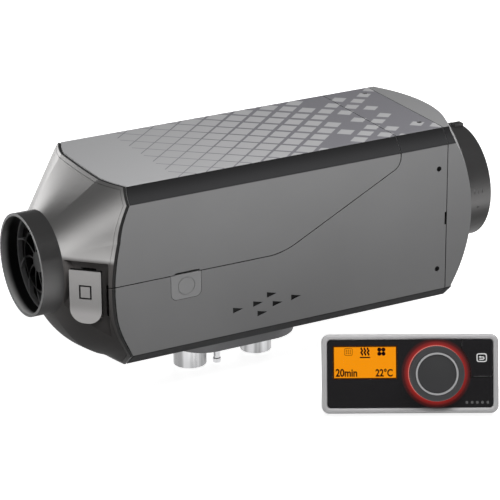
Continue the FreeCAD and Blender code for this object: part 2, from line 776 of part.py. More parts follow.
def latch_pocket(wall):
    """Recess around the latch, or with a wall the block that it is cut from."""
    half = LATCH_W / 2
    foot = -2 * LATCH_FOOT
    return latch_frame(box(-half - POCKET_LEFT - wall, half + POCKET_RIGHT + wall, -CASE_W,
                           POCKET_DEPTH + wall, foot, LATCH_TOP + POCKET_TOP + wall))


def latch_cuts():
    """Pin hole, hook opening and side slot of one latch."""
    floor = POCKET_DEPTH - 1
    through = POCKET_DEPTH + POCKET_WALL + 1
    hook_top = LATCH_TOP - HOOK_DROP
    hook = box(-HOOK_W / 2 - HOOK_CLEAR, HOOK_W / 2 + HOOK_CLEAR, floor, through,
               hook_top - HOOK_H - HOOK_CLEAR, hook_top + HOOK_CLEAR)
    slot_x1 = LATCH_W / 2 + POCKET_RIGHT
    slot = box(slot_x1 - SIDE_SLOT_W, slot_x1, floor, through, -SIDE_SLOT_TOP - SIDE_SLOT_L, -SIDE_SLOT_TOP)
    pin_hole = latch_cylinder(LATCH_PIN_R + RUN, -LATCH_W / 2, LATCH_W / 2)
    return [latch_frame(cut) for cut in (pin_hole, hook, slot)]


def both_sides(shapes):
    return shapes + [mirrored(shape) for shape in shapes]


def inlet_hood():
    skirt_x1 = FLARE_CORNER_X + SKIRT_L
    bore = INLET_R - COLLAR_WALL
    outline = casing_prism(HOOD_INSET, FLARE_ROOT_X, skirt_x1).common(behind_flare(0))
    flare = outline.cut(behind_flare(HOOD_T))
    skirt = casing_ring(HOOD_INSET, SKIRT_T, FLARE_ROOT_X, skirt_x1).common(behind_flare(0))
    block = latch_pocket(POCKET_WALL).common(outline)
    cone = fused([flare, skirt] + both_sides([block]))
    recess = latch_pocket(0).cut(rod(INLET_R + POCKET_RING, -FAR, FAR))
    cone = cone.cut([rod(bore, -FAR, FLARE_ROOT_X + HOOD_T + 1)] + both_sides([recess]))
    collar = pipe(INLET_R, bore, INLET_RIM_X, FLARE_ROOT_X + HOOD_T)
    hood = fused([cone, collar] + both_sides(latch_lugs()))
    return hood.cut(both_sides(latch_cuts()))


def inlet_guard():
    """Finger guard: a rim in the collar's bore, a middle ring and swept ribs from the hub."""
    rim_r = INLET_R - COLLAR_WALL - FIT
    x0 = INLET_RIM_X + GUARD_SETBACK
    x1 = x0 + GUARD_T
    sweep_at = Vec(x0, GUARD_SWEEP_R, AXIS_Z)
    rib = Part.makeCylinder(GUARD_SWEEP_R, GUARD_T, sweep_at, X_DIR)
    rib = rib.cut(Part.makeCylinder(GUARD_SWEEP_R - GUARD_RIB_W, GUARD_T, sweep_at, X_DIR))
    rib = rib.common(rod(rim_r - GUARD_RIM / 2, x0, x1))
    rib = rib.common(box(x0, x1, 0, FAR, AXIS_Z, FAR))
    rings = [
        pipe(rim_r, rim_r - GUARD_RIM, x0, x1),
        pipe(GUARD_RING_R, GUARD_RING_R - GUARD_RIB_W, x0, x1),
        rod(GUARD_HUB_R, x0, x1),
    ]
    return fused(rings + around(rib, GUARD_RIBS))


def collar_nicks():
    """Three upright grooves and a dimple in the near side of the outlet collar."""
    floor = -OUTLET_R + NICK_DEPTH
    cuts = []
    for index in range(NICKS):
        x = OUTLET_RIM_X - NICK_SETBACK - index * NICK_PITCH
        cuts.append(box(x - NICK_W / 2, x + NICK_W / 2, -CASE_W, floor,
                        AXIS_Z + NICK_UP - NICK_L / 2, AXIS_Z + NICK_UP + NICK_L / 2))
    middle_x = OUTLET_RIM_X - NICK_SETBACK - NICK_PITCH * (NICKS - 1) / 2
    dimple_y = -math.sqrt(OUTLET_R ** 2 - DIMPLE_DOWN ** 2) + NICK_DEPTH
    cuts.append(Part.makeCylinder(DIMPLE_R, CASE_W, Vec(middle_x, dimple_y, AXIS_Z - DIMPLE_DOWN), -Y_DIR))
    return cuts


def outlet_hood():
    x0 = SEAM_X + SEAM_GAP
    middle = Vec(DOME_X, 0, AXIS_Z)
    outer = casing_prism(0, x0, OUTLET_RIM_X).common(Part.makeSphere(DOME_R, middle))
    hollow = casing_prism(WALL, x0 - 1, OUTLET_RIM_X).common(Part.makeSphere(DOME_R - WALL, middle))
    skirt_end = x0 + OUTLET_BAND_L
    band = casing_ring(0, WALL + FIT + OUTLET_SKIRT_T, x0, skirt_end)
    skirt = casing_ring(WALL + FIT, OUTLET_SKIRT_T, SEAM_X - OUTLET_SKIRT_L, skirt_end)
    root_x = DOME_X + math.sqrt((DOME_R - WALL) ** 2 - OUTLET_R ** 2)
    collar = rod(OUTLET_R, root_x, OUTLET_RIM_X)
    lug = box(OUTLET_RIM_X - OUTLET_LUG_L, OUTLET_RIM_X, -OUTLET_LUG_W / 2, OUTLET_LUG_W / 2,
              AXIS_Z + OUTLET_R - COLLAR_WALL, AXIS_Z + OUTLET_R + OUTLET_LUG_H)
    hood = fused([outer.cut(hollow), band, skirt, collar, lug])
    bore = rod(OUTLET_R - COLLAR_WALL, x0, OUTLET_RIM_X + 1)
    cuts = [bore] + collar_nicks() + screw_holes(SCREW_R + PRESS, -1, WALL + FIT + OUTLET_SKIRT_T + 1)
    return hood.cut(cuts)


def outlet_screws():
    """Six screws, each seated on the hood's skirt through a hole in the casing."""
    seat = WALL + FIT
    top = seat - SCREW_HEAD_H
    heads = screw_holes(SCREW_HEAD_R, top, seat)
    shanks = screw_holes(SCREW_R, seat, seat + SCREW_L)
    screws = []
    for (point, inward), head, shank in zip(screw_places(), heads, shanks):
        around_point = [point + inward * top + spoke for spoke in hexagon_spokes(inward, SCREW_SOCKET_R)]
        socket = Part.Face(Part.makePolygon(around_point)).extrude(inward * SCREW_SOCKET_DEPTH)
        screws.append(head.fuse(shank).removeSplitter().cut(socket))
    return Part.makeCompound(screws)


def notch_insert():
    """U-shaped insert of the near side's cable notch, with a lip behind the casing's wall."""
    inner_y = -CASE_W / 2 + WALL + FIT
    plate = notch_face(-PLUG_GAP, -CASE_W / 2).extrude(Vec(0, WALL + FIT + PLUG_LIP_T, 0))
    plate = plate.cut(cover_region(PART_GAP))
    lip = notch_face(PLUG_LIP, inner_y).extrude(Vec(0, PLUG_LIP_T, 0))
    lip = lip.cut(cover_region(PART_GAP + LIP_H + FIT))
    return fused([plate, lip])


def blind_plug():
    middle = Vec(NOTCH_X, -CASE_W / 2 - 1, PART_Z - NOTCH_H / 2)
    ring = Part.makeCylinder(PLUG_RING_R, 1 + PLUG_RING_DEPTH, middle, Y_DIR)
    ring = ring.cut(Part.makeCylinder(PLUG_RING_R - PLUG_RING_W, 1 + PLUG_RING_DEPTH, middle, Y_DIR))
    return notch_insert().cut(ring)


def cable_gland():
    z = PART_Z - NOTCH_H / 2
    root = CASE_W / 2 - WALL
    collar = Part.makeCylinder(GLAND_R, WALL + GLAND_L, Vec(NOTCH_X, root, z), Y_DIR)
    bore = Part.makeCylinder(GLAND_BORE_R, CASE_W, Vec(NOTCH_X, 0, z), Y_DIR)
    return fused([mirrored(notch_insert()), collar]).cut(bore)


def bolt_holes(radius, depth):
    holes = []
    for x in (-BOLT_SPACING_X / 2, BOLT_SPACING_X / 2):
        for y in (-BOLT_SPACING_Y / 2, BOLT_SPACING_Y / 2):
            holes.append(post(radius, x, y, -1, depth))
    return holes


def blower_screw_rods(radius, x0, x1):
    """Rods on the four blower screws' axes."""
    first = Part.makeCylinder(radius, x1 - x0, Vec(x0, 0, AXIS_Z + BLOWER_SCREW_RING_R), X_DIR)
    return around(first, 4, 45.0)


def heat_exchanger():
    """One casting: finned tube, plinth and foot flange with the two ports."""
    bore = TUBE_R - TUBE_WALL
    fin = box(FIN_X0, TUBE_X1 - TUBE_END_T, -FIN_T / 2, FIN_T / 2,
              AXIS_Z + TUBE_R - TUBE_WALL / 2, AXIS_Z + FIN_R)
    # The fin at the very top is left out, to make room for the sensor
    fins = around(fin, FIN_COUNT)[1:]
    web_x0 = TUBE_X0 + TUBE_FLANGE_T / 2
    web = box(web_x0, web_x0 + WEB_L, -WEB_W / 2, WEB_W / 2, PLINTH_TOP, AXIS_Z - bore / 2)
    casting = fused([
        rod(TUBE_R, TUBE_X0, TUBE_X1),
        rod(TUBE_FLANGE_R, TUBE_X0, TUBE_X0 + TUBE_FLANGE_T),
        rounded_plate(FOOT_L, FOOT_W, FOOT_R, 0, FOOT_T),
        rounded_plate(PLINTH_L, PLINTH_W, PLINTH_R, 0, PLINTH_TOP),
        web,
        post(PLUG_BOSS_R, PLUG_X, 0, AXIS_Z + bore, AXIS_Z + PLUG_BOSS_TOP),
    ] + fins)
    air_bore = AIR_SPIGOT_R - SPIGOT_WALL
    exhaust_bore = EXHAUST_SPIGOT_R - SPIGOT_WALL
    cuts = [
        rod(bore, TUBE_X0 - 1, TUBE_X1 - TUBE_END_T),
        post(AIR_SPIGOT_R - SPIGOT_STEP + PRESS, -PORT_X, 0, -1, SPIGOT_SEAT),
        post(AIR_SPIGOT_R + FIT, -PORT_X, 0, -1, SPIGOT_NECK),
        post(air_bore, -PORT_X, 0, 0, PLINTH_TOP - TUBE_WALL),
        post(STUB_BORE_R, -PORT_X, 0, 0, PLINTH_TOP + 1),
        post(EXHAUST_SPIGOT_R - SPIGOT_STEP + PRESS, PORT_X, 0, -1, SPIGOT_SEAT),
        post(EXHAUST_SPIGOT_R + FIT, PORT_X, 0, -1, SPIGOT_NECK),
        post(exhaust_bore, PORT_X, 0, 0, AXIS_Z - bore / 2),
        post(FUEL_R + FIT, FUEL_X, FUEL_Y, -1, AXIS_Z),
        post(PLUG_BODY_R + PRESS, PLUG_X, 0, AXIS_Z, AXIS_Z + PLUG_BOSS_TOP + 1),
    ]
    cuts += bolt_holes(BOLT_TAP_R, BOLT_DEPTH)
    cuts += blower_screw_rods(BLOWER_SCREW_R + PRESS, TUBE_X0 - 1, TUBE_X0 + TUBE_FLANGE_T + 1)
    return casting.cut(cuts)


def neck_seal():
    """Soft ring between the plinth and the opening in the casing's floor."""
    z0 = CASE_LIFT + WALL / 2 - NECK_SEAL_H / 2
    gap = 2 * (NECK_SEAL_T - FIT)
    ring = rounded_plate(PLINTH_L + gap, PLINTH_W + gap, PLINTH_R + NECK_SEAL_T, z0, z0 + NECK_SEAL_H)
    core = rounded_plate(PLINTH_L + 2 * FIT, PLINTH_W + 2 * FIT, PLINTH_R, z0 - 1, z0 + NECK_SEAL_H + 1)
    return ring.cut(core)


def spigot(radius, x):
    """Tube with a stepped seat that is pressed into the foot."""
    tube = post(radius, x, 0, -SPIGOT_DROP, -SPIGOT_NECK)
    seat = post(radius - SPIGOT_STEP, x, 0, -SPIGOT_NECK - 1, SPIGOT_SEAT - FIT)
    return fused([tube, seat]).cut(post(radius - SPIGOT_WALL, x, 0, -SPIGOT_DROP - 1, SPIGOT_SEAT))


def fuel_pipe():
    """Straight tube with a rounded barb at its end, up to the burner cup."""
    top = AXIS_Z - math.sqrt(BURNER_R ** 2 - FUEL_Y ** 2) - FIT
    barb = post(FUEL_BARB_R, FUEL_X, FUEL_Y, -FUEL_DROP, -FUEL_DROP + FUEL_BARB_L)
    barb = barb.makeFillet((FUEL_BARB_R - FUEL_BORE_R) / 2, barb.Edges)
    tube = fused([post(FUEL_R, FUEL_X, FUEL_Y, -FUEL_DROP + FUEL_BARB_L / 2, top), barb])
    burner = rod(BURNER_R + FIT, TUBE_X0, TUBE_X1)
    return tube.cut([post(FUEL_BORE_R, FUEL_X, FUEL_Y, -FUEL_DROP - 1, AXIS_Z), burner])


def burner_cup():
    """Plate in the exchanger's open end with the cup in which the fuel vaporises."""
    plate_r = TUBE_R - TUBE_WALL - FIT
    plate_x1 = TUBE_X0 + BURNER_PLATE_T
    plate = rod(plate_r, TUBE_X0, plate_x1)
    cup = pipe(BURNER_R, BURNER_R - BURNER_WALL, plate_x1 - 1, plate_x1 + BURNER_L)
    air = rod(BURNER_AIR_R, TUBE_X0 - 1, plate_x1 + 1)
    return fused([plate, cup]).cut([air, post(PLUG_TIP_R + FIT, PLUG_X, 0, AXIS_Z, AXIS_Z + TUBE_R)])


def flame_tube():
    bore = BURNER_R + FIT
    return pipe(bore + FLAME_WALL, bore, FLAME_X0, FLAME_X0 + FLAME_L).cut(
        post(PLUG_TIP_R + FIT, PLUG_X, 0, AXIS_Z, AXIS_Z + TUBE_R))


def glow_plug():
    tip = AXIS_Z + BURNER_R / 2
    seat = AXIS_Z + TUBE_R - TUBE_WALL + FIT
    top = AXIS_Z + PLUG_BOSS_TOP
    middle = Vec(PLUG_X, 0, top)
    hexagon = Part.makePolygon([middle + spoke for spoke in hexagon_spokes(Z_DIR, PLUG_HEX_R)])
    head = Part.Face(hexagon).extrude(Vec(0, 0, PLUG_HEX_R))
    return fused([
        post(PLUG_TIP_R, PLUG_X, 0, tip, top),
        post(PLUG_BODY_R, PLUG_X, 0, seat, top),
        head,
        post(PLUG_TIP_R, PLUG_X, 0, top, top + 2 * PLUG_HEX_R),
    ])


def overheat_sensor():
    """Sensor block seated on top of the exchanger, between two fins."""
    block = box(SENSOR_X - SENSOR_L / 2, SENSOR_X + SENSOR_L / 2, -SENSOR_W / 2, SENSOR_W / 2,
                AXIS_Z + TUBE_R - 1, AXIS_Z + TUBE_R + SENSOR_H)
    return block.cut(rod(TUBE_R + FIT, TUBE_X0, TUBE_X1))


def exchanger_gasket():
    ring = pipe(TUBE_FLANGE_R, TUBE_R - TUBE_WALL, GASKET_X, GASKET_X + GASKET_T)
    return ring.cut(blower_screw_rods(BLOWER_SCREW_R + FIT, GASKET_X - 1, TUBE_X0))


def blower_housing():
    cavity = rod(BLOWER_R - BLOWER_WALL, BLOWER_X0 - 1, BLOWER_X1 - BLOWER_WALL)
    ear_x0 = BLOWER_X1 - BLOWER_EAR_T
    stub_top = AXIS_Z - BLOWER_R + BLOWER_WALL
    body = fused([
        rod(BLOWER_R, BLOWER_X0, BLOWER_X1),
        rod(TUBE_FLANGE_R, ear_x0, BLOWER_X1),
        post(STUB_R, -PORT_X, 0, PLINTH_TOP + FIT, stub_top),
    ])
    cuts = [
        cavity,
        rod(BURNER_AIR_R, BLOWER_X0, BLOWER_X1 + 1),
        post(STUB_BORE_R, -PORT_X, 0, 0, AXIS_Z - BLOWER_R / 2),
    ]
    return body.cut(cuts + blower_screw_rods(BLOWER_SCREW_R + FIT, ear_x0 - 1, BLOWER_X1 + 1))


def blower_cover():
    plate = rod(BLOWER_R, COVER_PLATE_X, COVER_PLATE_X + BLOWER_COVER_T)
    boss = rod(BLOWER_BOSS_R, COVER_PLATE_X - BLOWER_BOSS_L, COVER_PLATE_X + 1)
    return fused([plate, boss]).cut(rod(BEARING_R, MOTOR_X1, BLOWER_X0))


def blower_screws():
    head_x1 = BLOWER_X1 - BLOWER_EAR_T
    heads = blower_screw_rods(BLOWER_SCREW_HEAD_R, head_x1 - BLOWER_SCREW_HEAD_L, head_x1)
    shanks = blower_screw_rods(BLOWER_SCREW_R, head_x1, TUBE_X0 + TUBE_FLANGE_T - FIT)
    return Part.makeCompound([head.fuse(shank).removeSplitter() for head, shank in zip(heads, shanks)])


def combustion_wheel():
    """Disc with short radial blades on its burner side."""
    disc_x1 = WHEEL_X0 + WHEEL_T
    blade = box(disc_x1 - 1, disc_x1 + WHEEL_BLADE_L, -FAN_BLADE_T / 2, FAN_BLADE_T / 2,
                AXIS_Z + WHEEL_R / 2, AXIS_Z + WHEEL_R - 1)
    wheel = fused([
        rod(WHEEL_R, WHEEL_X0, disc_x1),
        rod(WHEEL_HUB_R, WHEEL_X0, disc_x1 + WHEEL_BLADE_L),
    ] + around(blade, WHEEL_BLADES))
    return wheel.cut(rod(SHAFT_R + PRESS, WHEEL_X0 - 1, SHAFT_X1))


def motor_can():
    cavity = rod(MOTOR_R - MOTOR_WALL, MOTOR_X0 + MOTOR_END_T, MOTOR_X1 - MOTOR_END_T)
    seat = BEARING_R + PRESS
    bosses = [
        pipe(BEARING_BOSS_R, seat, MOTOR_X0, MOTOR_X0 + BEARING_W),
        pipe(BEARING_BOSS_R, seat, MOTOR_X1 - BEARING_W, MOTOR_X1),
    ]
    shell = rod(MOTOR_R, MOTOR_X0, MOTOR_X1).cut(cavity)
    return fused([shell] + bosses).cut(rod(seat, MOTOR_X0 - 1, MOTOR_X1 + 1))


def bearing(x0):
    return pipe(BEARING_R, SHAFT_R + RUN, x0, x0 + BEARING_W)


def motor_magnets():
    outer = MOTOR_R - MOTOR_WALL - FIT
    return pipe(outer, outer - MAGNET_T, MOTOR_MID_X - MAGNET_L / 2, MOTOR_MID_X + MAGNET_L / 2)


def armature():
    return pipe(ARMATURE_R, SHAFT_R + PRESS, MOTOR_MID_X - ARMATURE_L / 2, MOTOR_MID_X + ARMATURE_L / 2)


def rotor_shaft():
    return rod(SHAFT_R, SHAFT_X0, SHAFT_X1)


def air_fan():
    """Hub with pitched blades that draws the air in past the motor."""
    middle = Vec((FAN_X0 + FAN_X1) / 2, 0, AXIS_Z)
    half = FAN_BLADE_CHORD / 2
    blade = Part.makeBox(2 * half, FAN_BLADE_T, FAN_R, middle - Vec(half, FAN_BLADE_T / 2, 0))
    blade = blade.rotated(middle, Z_DIR, FAN_PITCH_DEG)
    blade = blade.common(pipe(FAN_R, FAN_HUB_R - 1, FAN_X0, FAN_X1))
    fan = fused([rod(FAN_HUB_R, FAN_X0, FAN_X1)] + around(blade, FAN_BLADES))
    return fan.cut(rod(SHAFT_R + PRESS, FAN_X0 - 1, FAN_X1 + 1))


def control_bracket():
    """Saddle on the motor that carries the control box."""
    top = BOX_Z0 - FIT
    saddle = box(MOTOR_MID_X - BRACKET_L / 2, MOTOR_MID_X + BRACKET_L / 2, -BRACKET_W / 2, BRACKET_W / 2,
                 AXIS_Z + MOTOR_R / 2, top)
    return saddle.cut(rod(MOTOR_R + FIT, MOTOR_X0, MOTOR_X1))


def control_tray():
    half_w = BOX_W / 2
    wall = BOX_WALL
    ledge = BOX_WALL + BOARD_T
    outer = box(BOX_X0, BOX_X0 + BOX_L, -half_w, half_w, BOX_Z0, BOX_Z0 + BOX_H)
    upper = box(BOX_X0 + wall, BOX_X0 + BOX_L - wall, -half_w + wall, half_w - wall,
                BOX_Z0 + BOARD_LEDGE, BOX_Z0 + BOX_H + 1)
    lower = box(BOX_X0 + ledge, BOX_X0 + BOX_L - ledge, -half_w + ledge, half_w - ledge,
                BOX_Z0 + wall, BOX_Z0 + BOARD_LEDGE + 1)
    return outer.cut([upper, lower])


def control_board():
    edge = BOX_WALL + FIT
    z0 = BOX_Z0 + BOARD_LEDGE
    return box(BOX_X0 + edge, BOX_X0 + BOX_L - edge, -BOX_W / 2 + edge, BOX_W / 2 - edge, z0, z0 + BOARD_T)


def control_lid():
    z0 = BOX_Z0 + BOX_H
    return box(BOX_X0, BOX_X0 + BOX_L, -BOX_W / 2, BOX_W / 2, z0, z0 + BOX_LID_T)


def stand(shape):
    """Turn and move a shape from the panel's upright frame to its place in front of the heater."""
    turned = shape.rotated(Vec(0, 0, 0), Z_DIR, PANEL_YAW)
    return turned.translated(Vec(PANEL_X, PANEL_Y, -SPIGOT_DROP))


def lean(shape):
    """Tip a shape from the face's frame (x across, y behind it, z up it) back onto the housing."""
    return shape.rotated(Vec(0, 0, 0), X_DIR, -PANEL_LEAN).translated(Vec(0, 0, PANEL_LIFT))


def on_face(shape):
    return stand(lean(shape))


def face_plate(width, height, radius, y0, y1, u=0.0, v=PANEL_H / 2):
    """Rounded plate parallel to the panel's face, from depth y0 to y1."""
    corners = [(-1, -1), (1, -1), (1, 1), (-1, 1)]
    points = [Vec(u + a * width / 2, y0, v + b * height / 2) for a, b in corners]
    return rounded_face(points, [radius] * 4).extrude(Vec(0, y1 - y0, 0))


def face_rod(radius, u, v, y0, y1):
    """Cylinder square to the panel's face."""
    return Part.makeCylinder(radius, y1 - y0, Vec(u, y0, v), Y_DIR)


def dial_rod(radius, y0, y1):
    return face_rod(radius, DIAL_U, DIAL_V, y0, y1)


def panel_frame():
    """Rounded metal-look frame with a ledge behind the face."""
    outer = face_plate(PANEL_W, PANEL_H, PANEL_R, 0, FRAME_DEPTH)
    opening_w = PANEL_W - 2 * FRAME_BORDER
    opening_h = PANEL_H - 2 * FRAME_BORDER
    ring = outer.cut(face_plate(opening_w, opening_h, FACE_R, -1, FACE_BACK + FIT))
    through = face_plate(opening_w - 2 * FACE_LEDGE, opening_h - 2 * FACE_LEDGE, FACE_R, 0, FRAME_DEPTH + 1)
    ring = ring.cut(through)
    front = [edge for edge in ring.Edges if edge.BoundBox.YMax < FIT]
    return on_face(ring.makeFillet(FRAME_EDGE_R, front))


def button_area(grow):
    """Corner key's outline, set back around the dial."""
    width = BUTTON_U1 - BUTTON_U0 + 2 * grow
    height = BUTTON_V1 - BUTTON_V0 + 2 * grow
    u = (BUTTON_U0 + BUTTON_U1) / 2
    v = (BUTTON_V0 + BUTTON_V1) / 2
    front = FACE_SINK - BUTTON_PROUD
    plate = face_plate(width, height, FACE_R, front, front + BUTTON_T, u, v)
    return plate.cut(dial_rod(LIGHT_R + 4 * BUTTON_GAP - grow, -1, PANEL_BOARD_IN))


def panel_face():
    """Black front with openings for the display, the dial and the key, and the posts that carry the board."""
    width = PANEL_W - 2 * FRAME_BORDER - 2 * FIT
    height = PANEL_H - 2 * FRAME_BORDER - 2 * FIT
    plate = face_plate(width, height, FACE_R, FACE_SINK, FACE_BACK)
    posts = [face_rod(PANEL_POST_R, u, v, FACE_BACK - 1, PANEL_BOARD_IN) for u, v in PANEL_POSTS]
    key = button_area(BUTTON_GAP)
    cuts = [
        face_plate(DISPLAY_W + 2 * FIT, DISPLAY_H + 2 * FIT, SMALL_R, 0, FACE_BACK + 1, DISPLAY_U, DISPLAY_V),
        dial_rod(LIGHT_R + FIT, 0, FACE_SINK + LIGHT_T + FIT),
        dial_rod(LIGHT_BORE_R, 0, FACE_BACK + 1),
        key,
        key.translated(Vec(0, BUTTON_T / 2, 0)),
    ]
    cuts += [face_rod(PANEL_SCREW_R, u, v, PANEL_BOARD_IN - PANEL_SCREW_L, PANEL_BOARD_IN + 1)
             for u, v in PANEL_POSTS]
    return on_face(fused([plate] + posts).cut(cuts))


def display_glass():
    back = FACE_SINK + GLASS_T
    return on_face(face_plate(DISPLAY_W, DISPLAY_H, SMALL_R, FACE_SINK, back, DISPLAY_U, DISPLAY_V))


def display_module():
    front = FACE_SINK + GLASS_T + FIT
    back = PANEL_BOARD_IN - FIT
    panel = face_plate(DISPLAY_W, DISPLAY_H, SMALL_R, front, back, DISPLAY_U, DISPLAY_V)
    rim = face_plate(DISPLAY_W + 2 * MODULE_RIM, DISPLAY_H + 2 * MODULE_RIM, SMALL_R, FACE_BACK + FIT, back,
                     DISPLAY_U, DISPLAY_V)
    return on_face(fused([panel, rim]))


def light_ring():
    ring = dial_rod(LIGHT_R, FACE_SINK, FACE_SINK + LIGHT_T)
    return on_face(ring.cut(dial_rod(LIGHT_BORE_R, 0, PANEL_BOARD_IN)))


def dial_knob():
    """Grip ring and body of the dial, with a seat for the cap and a bore for the stem."""
    body = dial_rod(DIAL_R, DIAL_FRONT, DIAL_BACK)
    rim = [edge for edge in body.Edges if edge.BoundBox.YMax < DIAL_FRONT + FIT]
    body = body.makeFillet((DIAL_R - CAP_R - CAP_RIM) / 4, rim)
    seat = dial_rod(CAP_R + CAP_RIM + FIT, DIAL_FRONT - 1, DIAL_FRONT + CAP_T)
    return on_face(body.cut([seat, dial_rod(STEM_R + PRESS, DIAL_BACK - STEM_SEAT, DIAL_BACK + 1)]))


def dial_ring():
    front = DIAL_FRONT - RING_PROUD
    ring = dial_rod(CAP_R + CAP_RIM, front, DIAL_FRONT + CAP_T)
    return on_face(ring.cut(dial_rod(CAP_R, front - 1, DIAL_FRONT + CAP_T + 1)))


def dial_cap():
    """Dished cap in the middle of the dial."""
    front = DIAL_FRONT + CAP_SINK
    cap = dial_rod(CAP_R - FIT, front, DIAL_FRONT + CAP_T)
    dish_r = (CAP_R ** 2 + CAP_DISH ** 2) / (2 * CAP_DISH)
    dish = Part.makeSphere(dish_r, Vec(DIAL_U, front + CAP_DISH - dish_r, DIAL_V))
    return on_face(cap.cut(dish))


def stem_end():
    """Depth of the stem's inner end, which leaves the plunger room to travel."""
    return PANEL_BOARD_IN - PLUNGER_L - PRESS_TRAVEL - 2 * FIT


def dial_stem():
    return on_face(dial_rod(STEM_R, DIAL_BACK - STEM_SEAT + FIT, stem_end()))


def push_plunger():
    start = stem_end() + FIT
    return on_face(dial_rod(STEM_R, start, start + PLUNGER_L))


def encoder_body():
    back = PANEL_BOARD_IN - FIT
    body = face_plate(ENCODER_W, ENCODER_W, SMALL_R, FACE_BACK + FIT, back, DIAL_U, DIAL_V)
    return on_face(body.cut(dial_rod(STEM_R + RUN, 0, PANEL_BOARD_IN + 1)))


def button_middle():
    return ((BUTTON_U0 + BUTTON_U1) / 2 + FACE_R, (BUTTON_V0 + BUTTON_V1) / 2)


def return_button():
    u, v = button_middle()
    key_back = FACE_SINK - BUTTON_PROUD + BUTTON_T
    stem_back = PANEL_BOARD_IN - SWITCH_H - FIT - BUTTON_TRAVEL - FIT
    return on_face(fused([button_area(0), face_rod(BUTTON_STEM_R, u, v, key_back - 1, stem_back)]))


def button_switch():
    u, v = button_middle()
    back = PANEL_BOARD_IN - FIT
    return on_face(face_plate(SWITCH_W, SWITCH_W, SMALL_R, back - SWITCH_H, back, u, v))


def panel_board():
    side = PANEL_W - 2 * PANEL_BOARD_SIDE
    height = PANEL_H - 2 * PANEL_BOARD_SIDE
    board = face_plate(side, height, SMALL_R, PANEL_BOARD_IN, PANEL_BOARD_IN + BOARD_T)
    holes = [face_rod(PANEL_SCREW_R + FIT, u, v, 0, 2 * PANEL_BOARD_IN) for u, v in PANEL_POSTS]
    return on_face(board.cut(holes))


def panel_screws():
    seat = PANEL_BOARD_IN + BOARD_T
    screws = []
    for u, v in PANEL_POSTS:
        shank = face_rod(PANEL_SCREW_R - PRESS, u, v, PANEL_BOARD_IN - PANEL_SCREW_L + FIT, seat)
        head = face_rod(PANEL_SCREW_HEAD_R, u, v, seat, seat + PANEL_SCREW_HEAD_L)
        screws.append(on_face(shank.fuse(head).removeSplitter()))
    return Part.makeCompound(screws)


def wedge(inset):
    """Inside of the panel's stand: sloping front and top, upright back, flat base."""
    half = PANEL_W / 2 - PANEL_BACK_IN - inset
    front = HOUSING_FRONT - (1 if inset else 0)
    leaning = lean(box(-half, half, front, FAR, PANEL_BACK_LOW + inset, PANEL_H - PANEL_BACK_IN - inset))
    return leaning.common(box(-half, half, -FAR, PANEL_BASE_DEPTH - inset, inset, FAR))


def socket_block(grow, y0, y1):
    return box(-SOCKET_W / 2 - grow, SOCKET_W / 2 + grow, y0, y1,
               SOCKET_V - SOCKET_H / 2 - grow, SOCKET_V + SOCKET_H / 2 + grow)


def panel_back():
    shell = wedge(0).cut(wedge(PANEL_WALL))
    return stand(shell.cut(socket_block(FIT, PANEL_BASE_DEPTH / 2, FAR)))


def panel_socket():
    """Open connector in the housing's back."""
    end = PANEL_BASE_DEPTH + PANEL_WALL
    block = socket_block(0, end - SOCKET_L, end)
    return stand(block.cut(socket_block(-PANEL_WALL, end - SOCKET_L + PANEL_WALL, end + 1)))


PIECES = {
    "lower_casing": lower_casing(),
    "upper_cover": upper_cover(),
    "casing_rim": below_parting(seam_rim()),
    "cover_rim": above_parting(seam_rim()),
    "casing_seal": below_parting(seam_seal()),
    "cover_seal": above_parting(seam_seal()),
    "inlet_hood": inlet_hood(),
    "inlet_guard": inlet_guard(),
    "near_latch": latch(),
    "far_latch": mirrored(latch()),
    "near_latch_pin": latch_pin(),
    "far_latch_pin": mirrored(latch_pin()),
    "outlet_hood": outlet_hood(),
    "outlet_screws": outlet_screws(),
    "blind_plug": blind_plug(),
    "cable_gland": cable_gland(),
    "heat_exchanger": heat_exchanger(),
    "neck_seal": neck_seal(),
    "air_spigot": spigot(AIR_SPIGOT_R, -PORT_X),
    "exhaust_spigot": spigot(EXHAUST_SPIGOT_R, PORT_X),
    "fuel_pipe": fuel_pipe(),
    "burner_cup": burner_cup(),
    "flame_tube": flame_tube(),
    "glow_plug": glow_plug(),
    "overheat_sensor": overheat_sensor(),
    "exchanger_gasket": exchanger_gasket(),
    "blower_housing": blower_housing(),
    "blower_cover": blower_cover(),
    "blower_screws": blower_screws(),
    "combustion_wheel": combustion_wheel(),
    "motor_can": motor_can(),
    "motor_magnets": motor_magnets(),
    "armature": armature(),
    "front_bearing": bearing(MOTOR_X0),
    "rear_bearing": bearing(MOTOR_X1 - BEARING_W),
    "rotor_shaft": rotor_shaft(),
    "air_fan": air_fan(),
    "control_bracket": control_bracket(),
    "control_tray": control_tray(),
    "control_board": control_board(),
    "control_lid": control_lid(),
    "panel_back": panel_back(),
    "panel_frame": panel_frame(),
    "panel_face": panel_face(),
    "panel_board": panel_board(),
    "panel_screws": panel_screws(),
    "panel_socket": panel_socket(),
    "display_glass": display_glass(),
    "display_module": display_module(),
    "light_ring": light_ring(),
    "dial_knob": dial_knob(),
    "dial_ring": dial_ring(),
    "dial_cap": dial_cap(),
    "dial_stem": dial_stem(),
    "push_plunger": push_plunger(),
    "encoder_body": encoder_body(),
    "return_button": return_button(),
    "button_switch": button_switch(),
}

os.makedirs("parts", exist_ok=True)
for name, shape in PIECES.items():
    solids = shape.Solids
    piece = solids[0] if len(solids) == 1 else Part.makeCompound(solids)
    piece.exportStep(f"parts/{name}.step")
    print(f"{name}: {len(solids)} solids, {piece.Volume:.0f} mm3, valid {piece.isValid()}")
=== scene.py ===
"""Petrol parking heater: finishes, display, dial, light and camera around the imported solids.

It is laid out as an add-on and run as a script. Lengths are in metres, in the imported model's frame.
"""

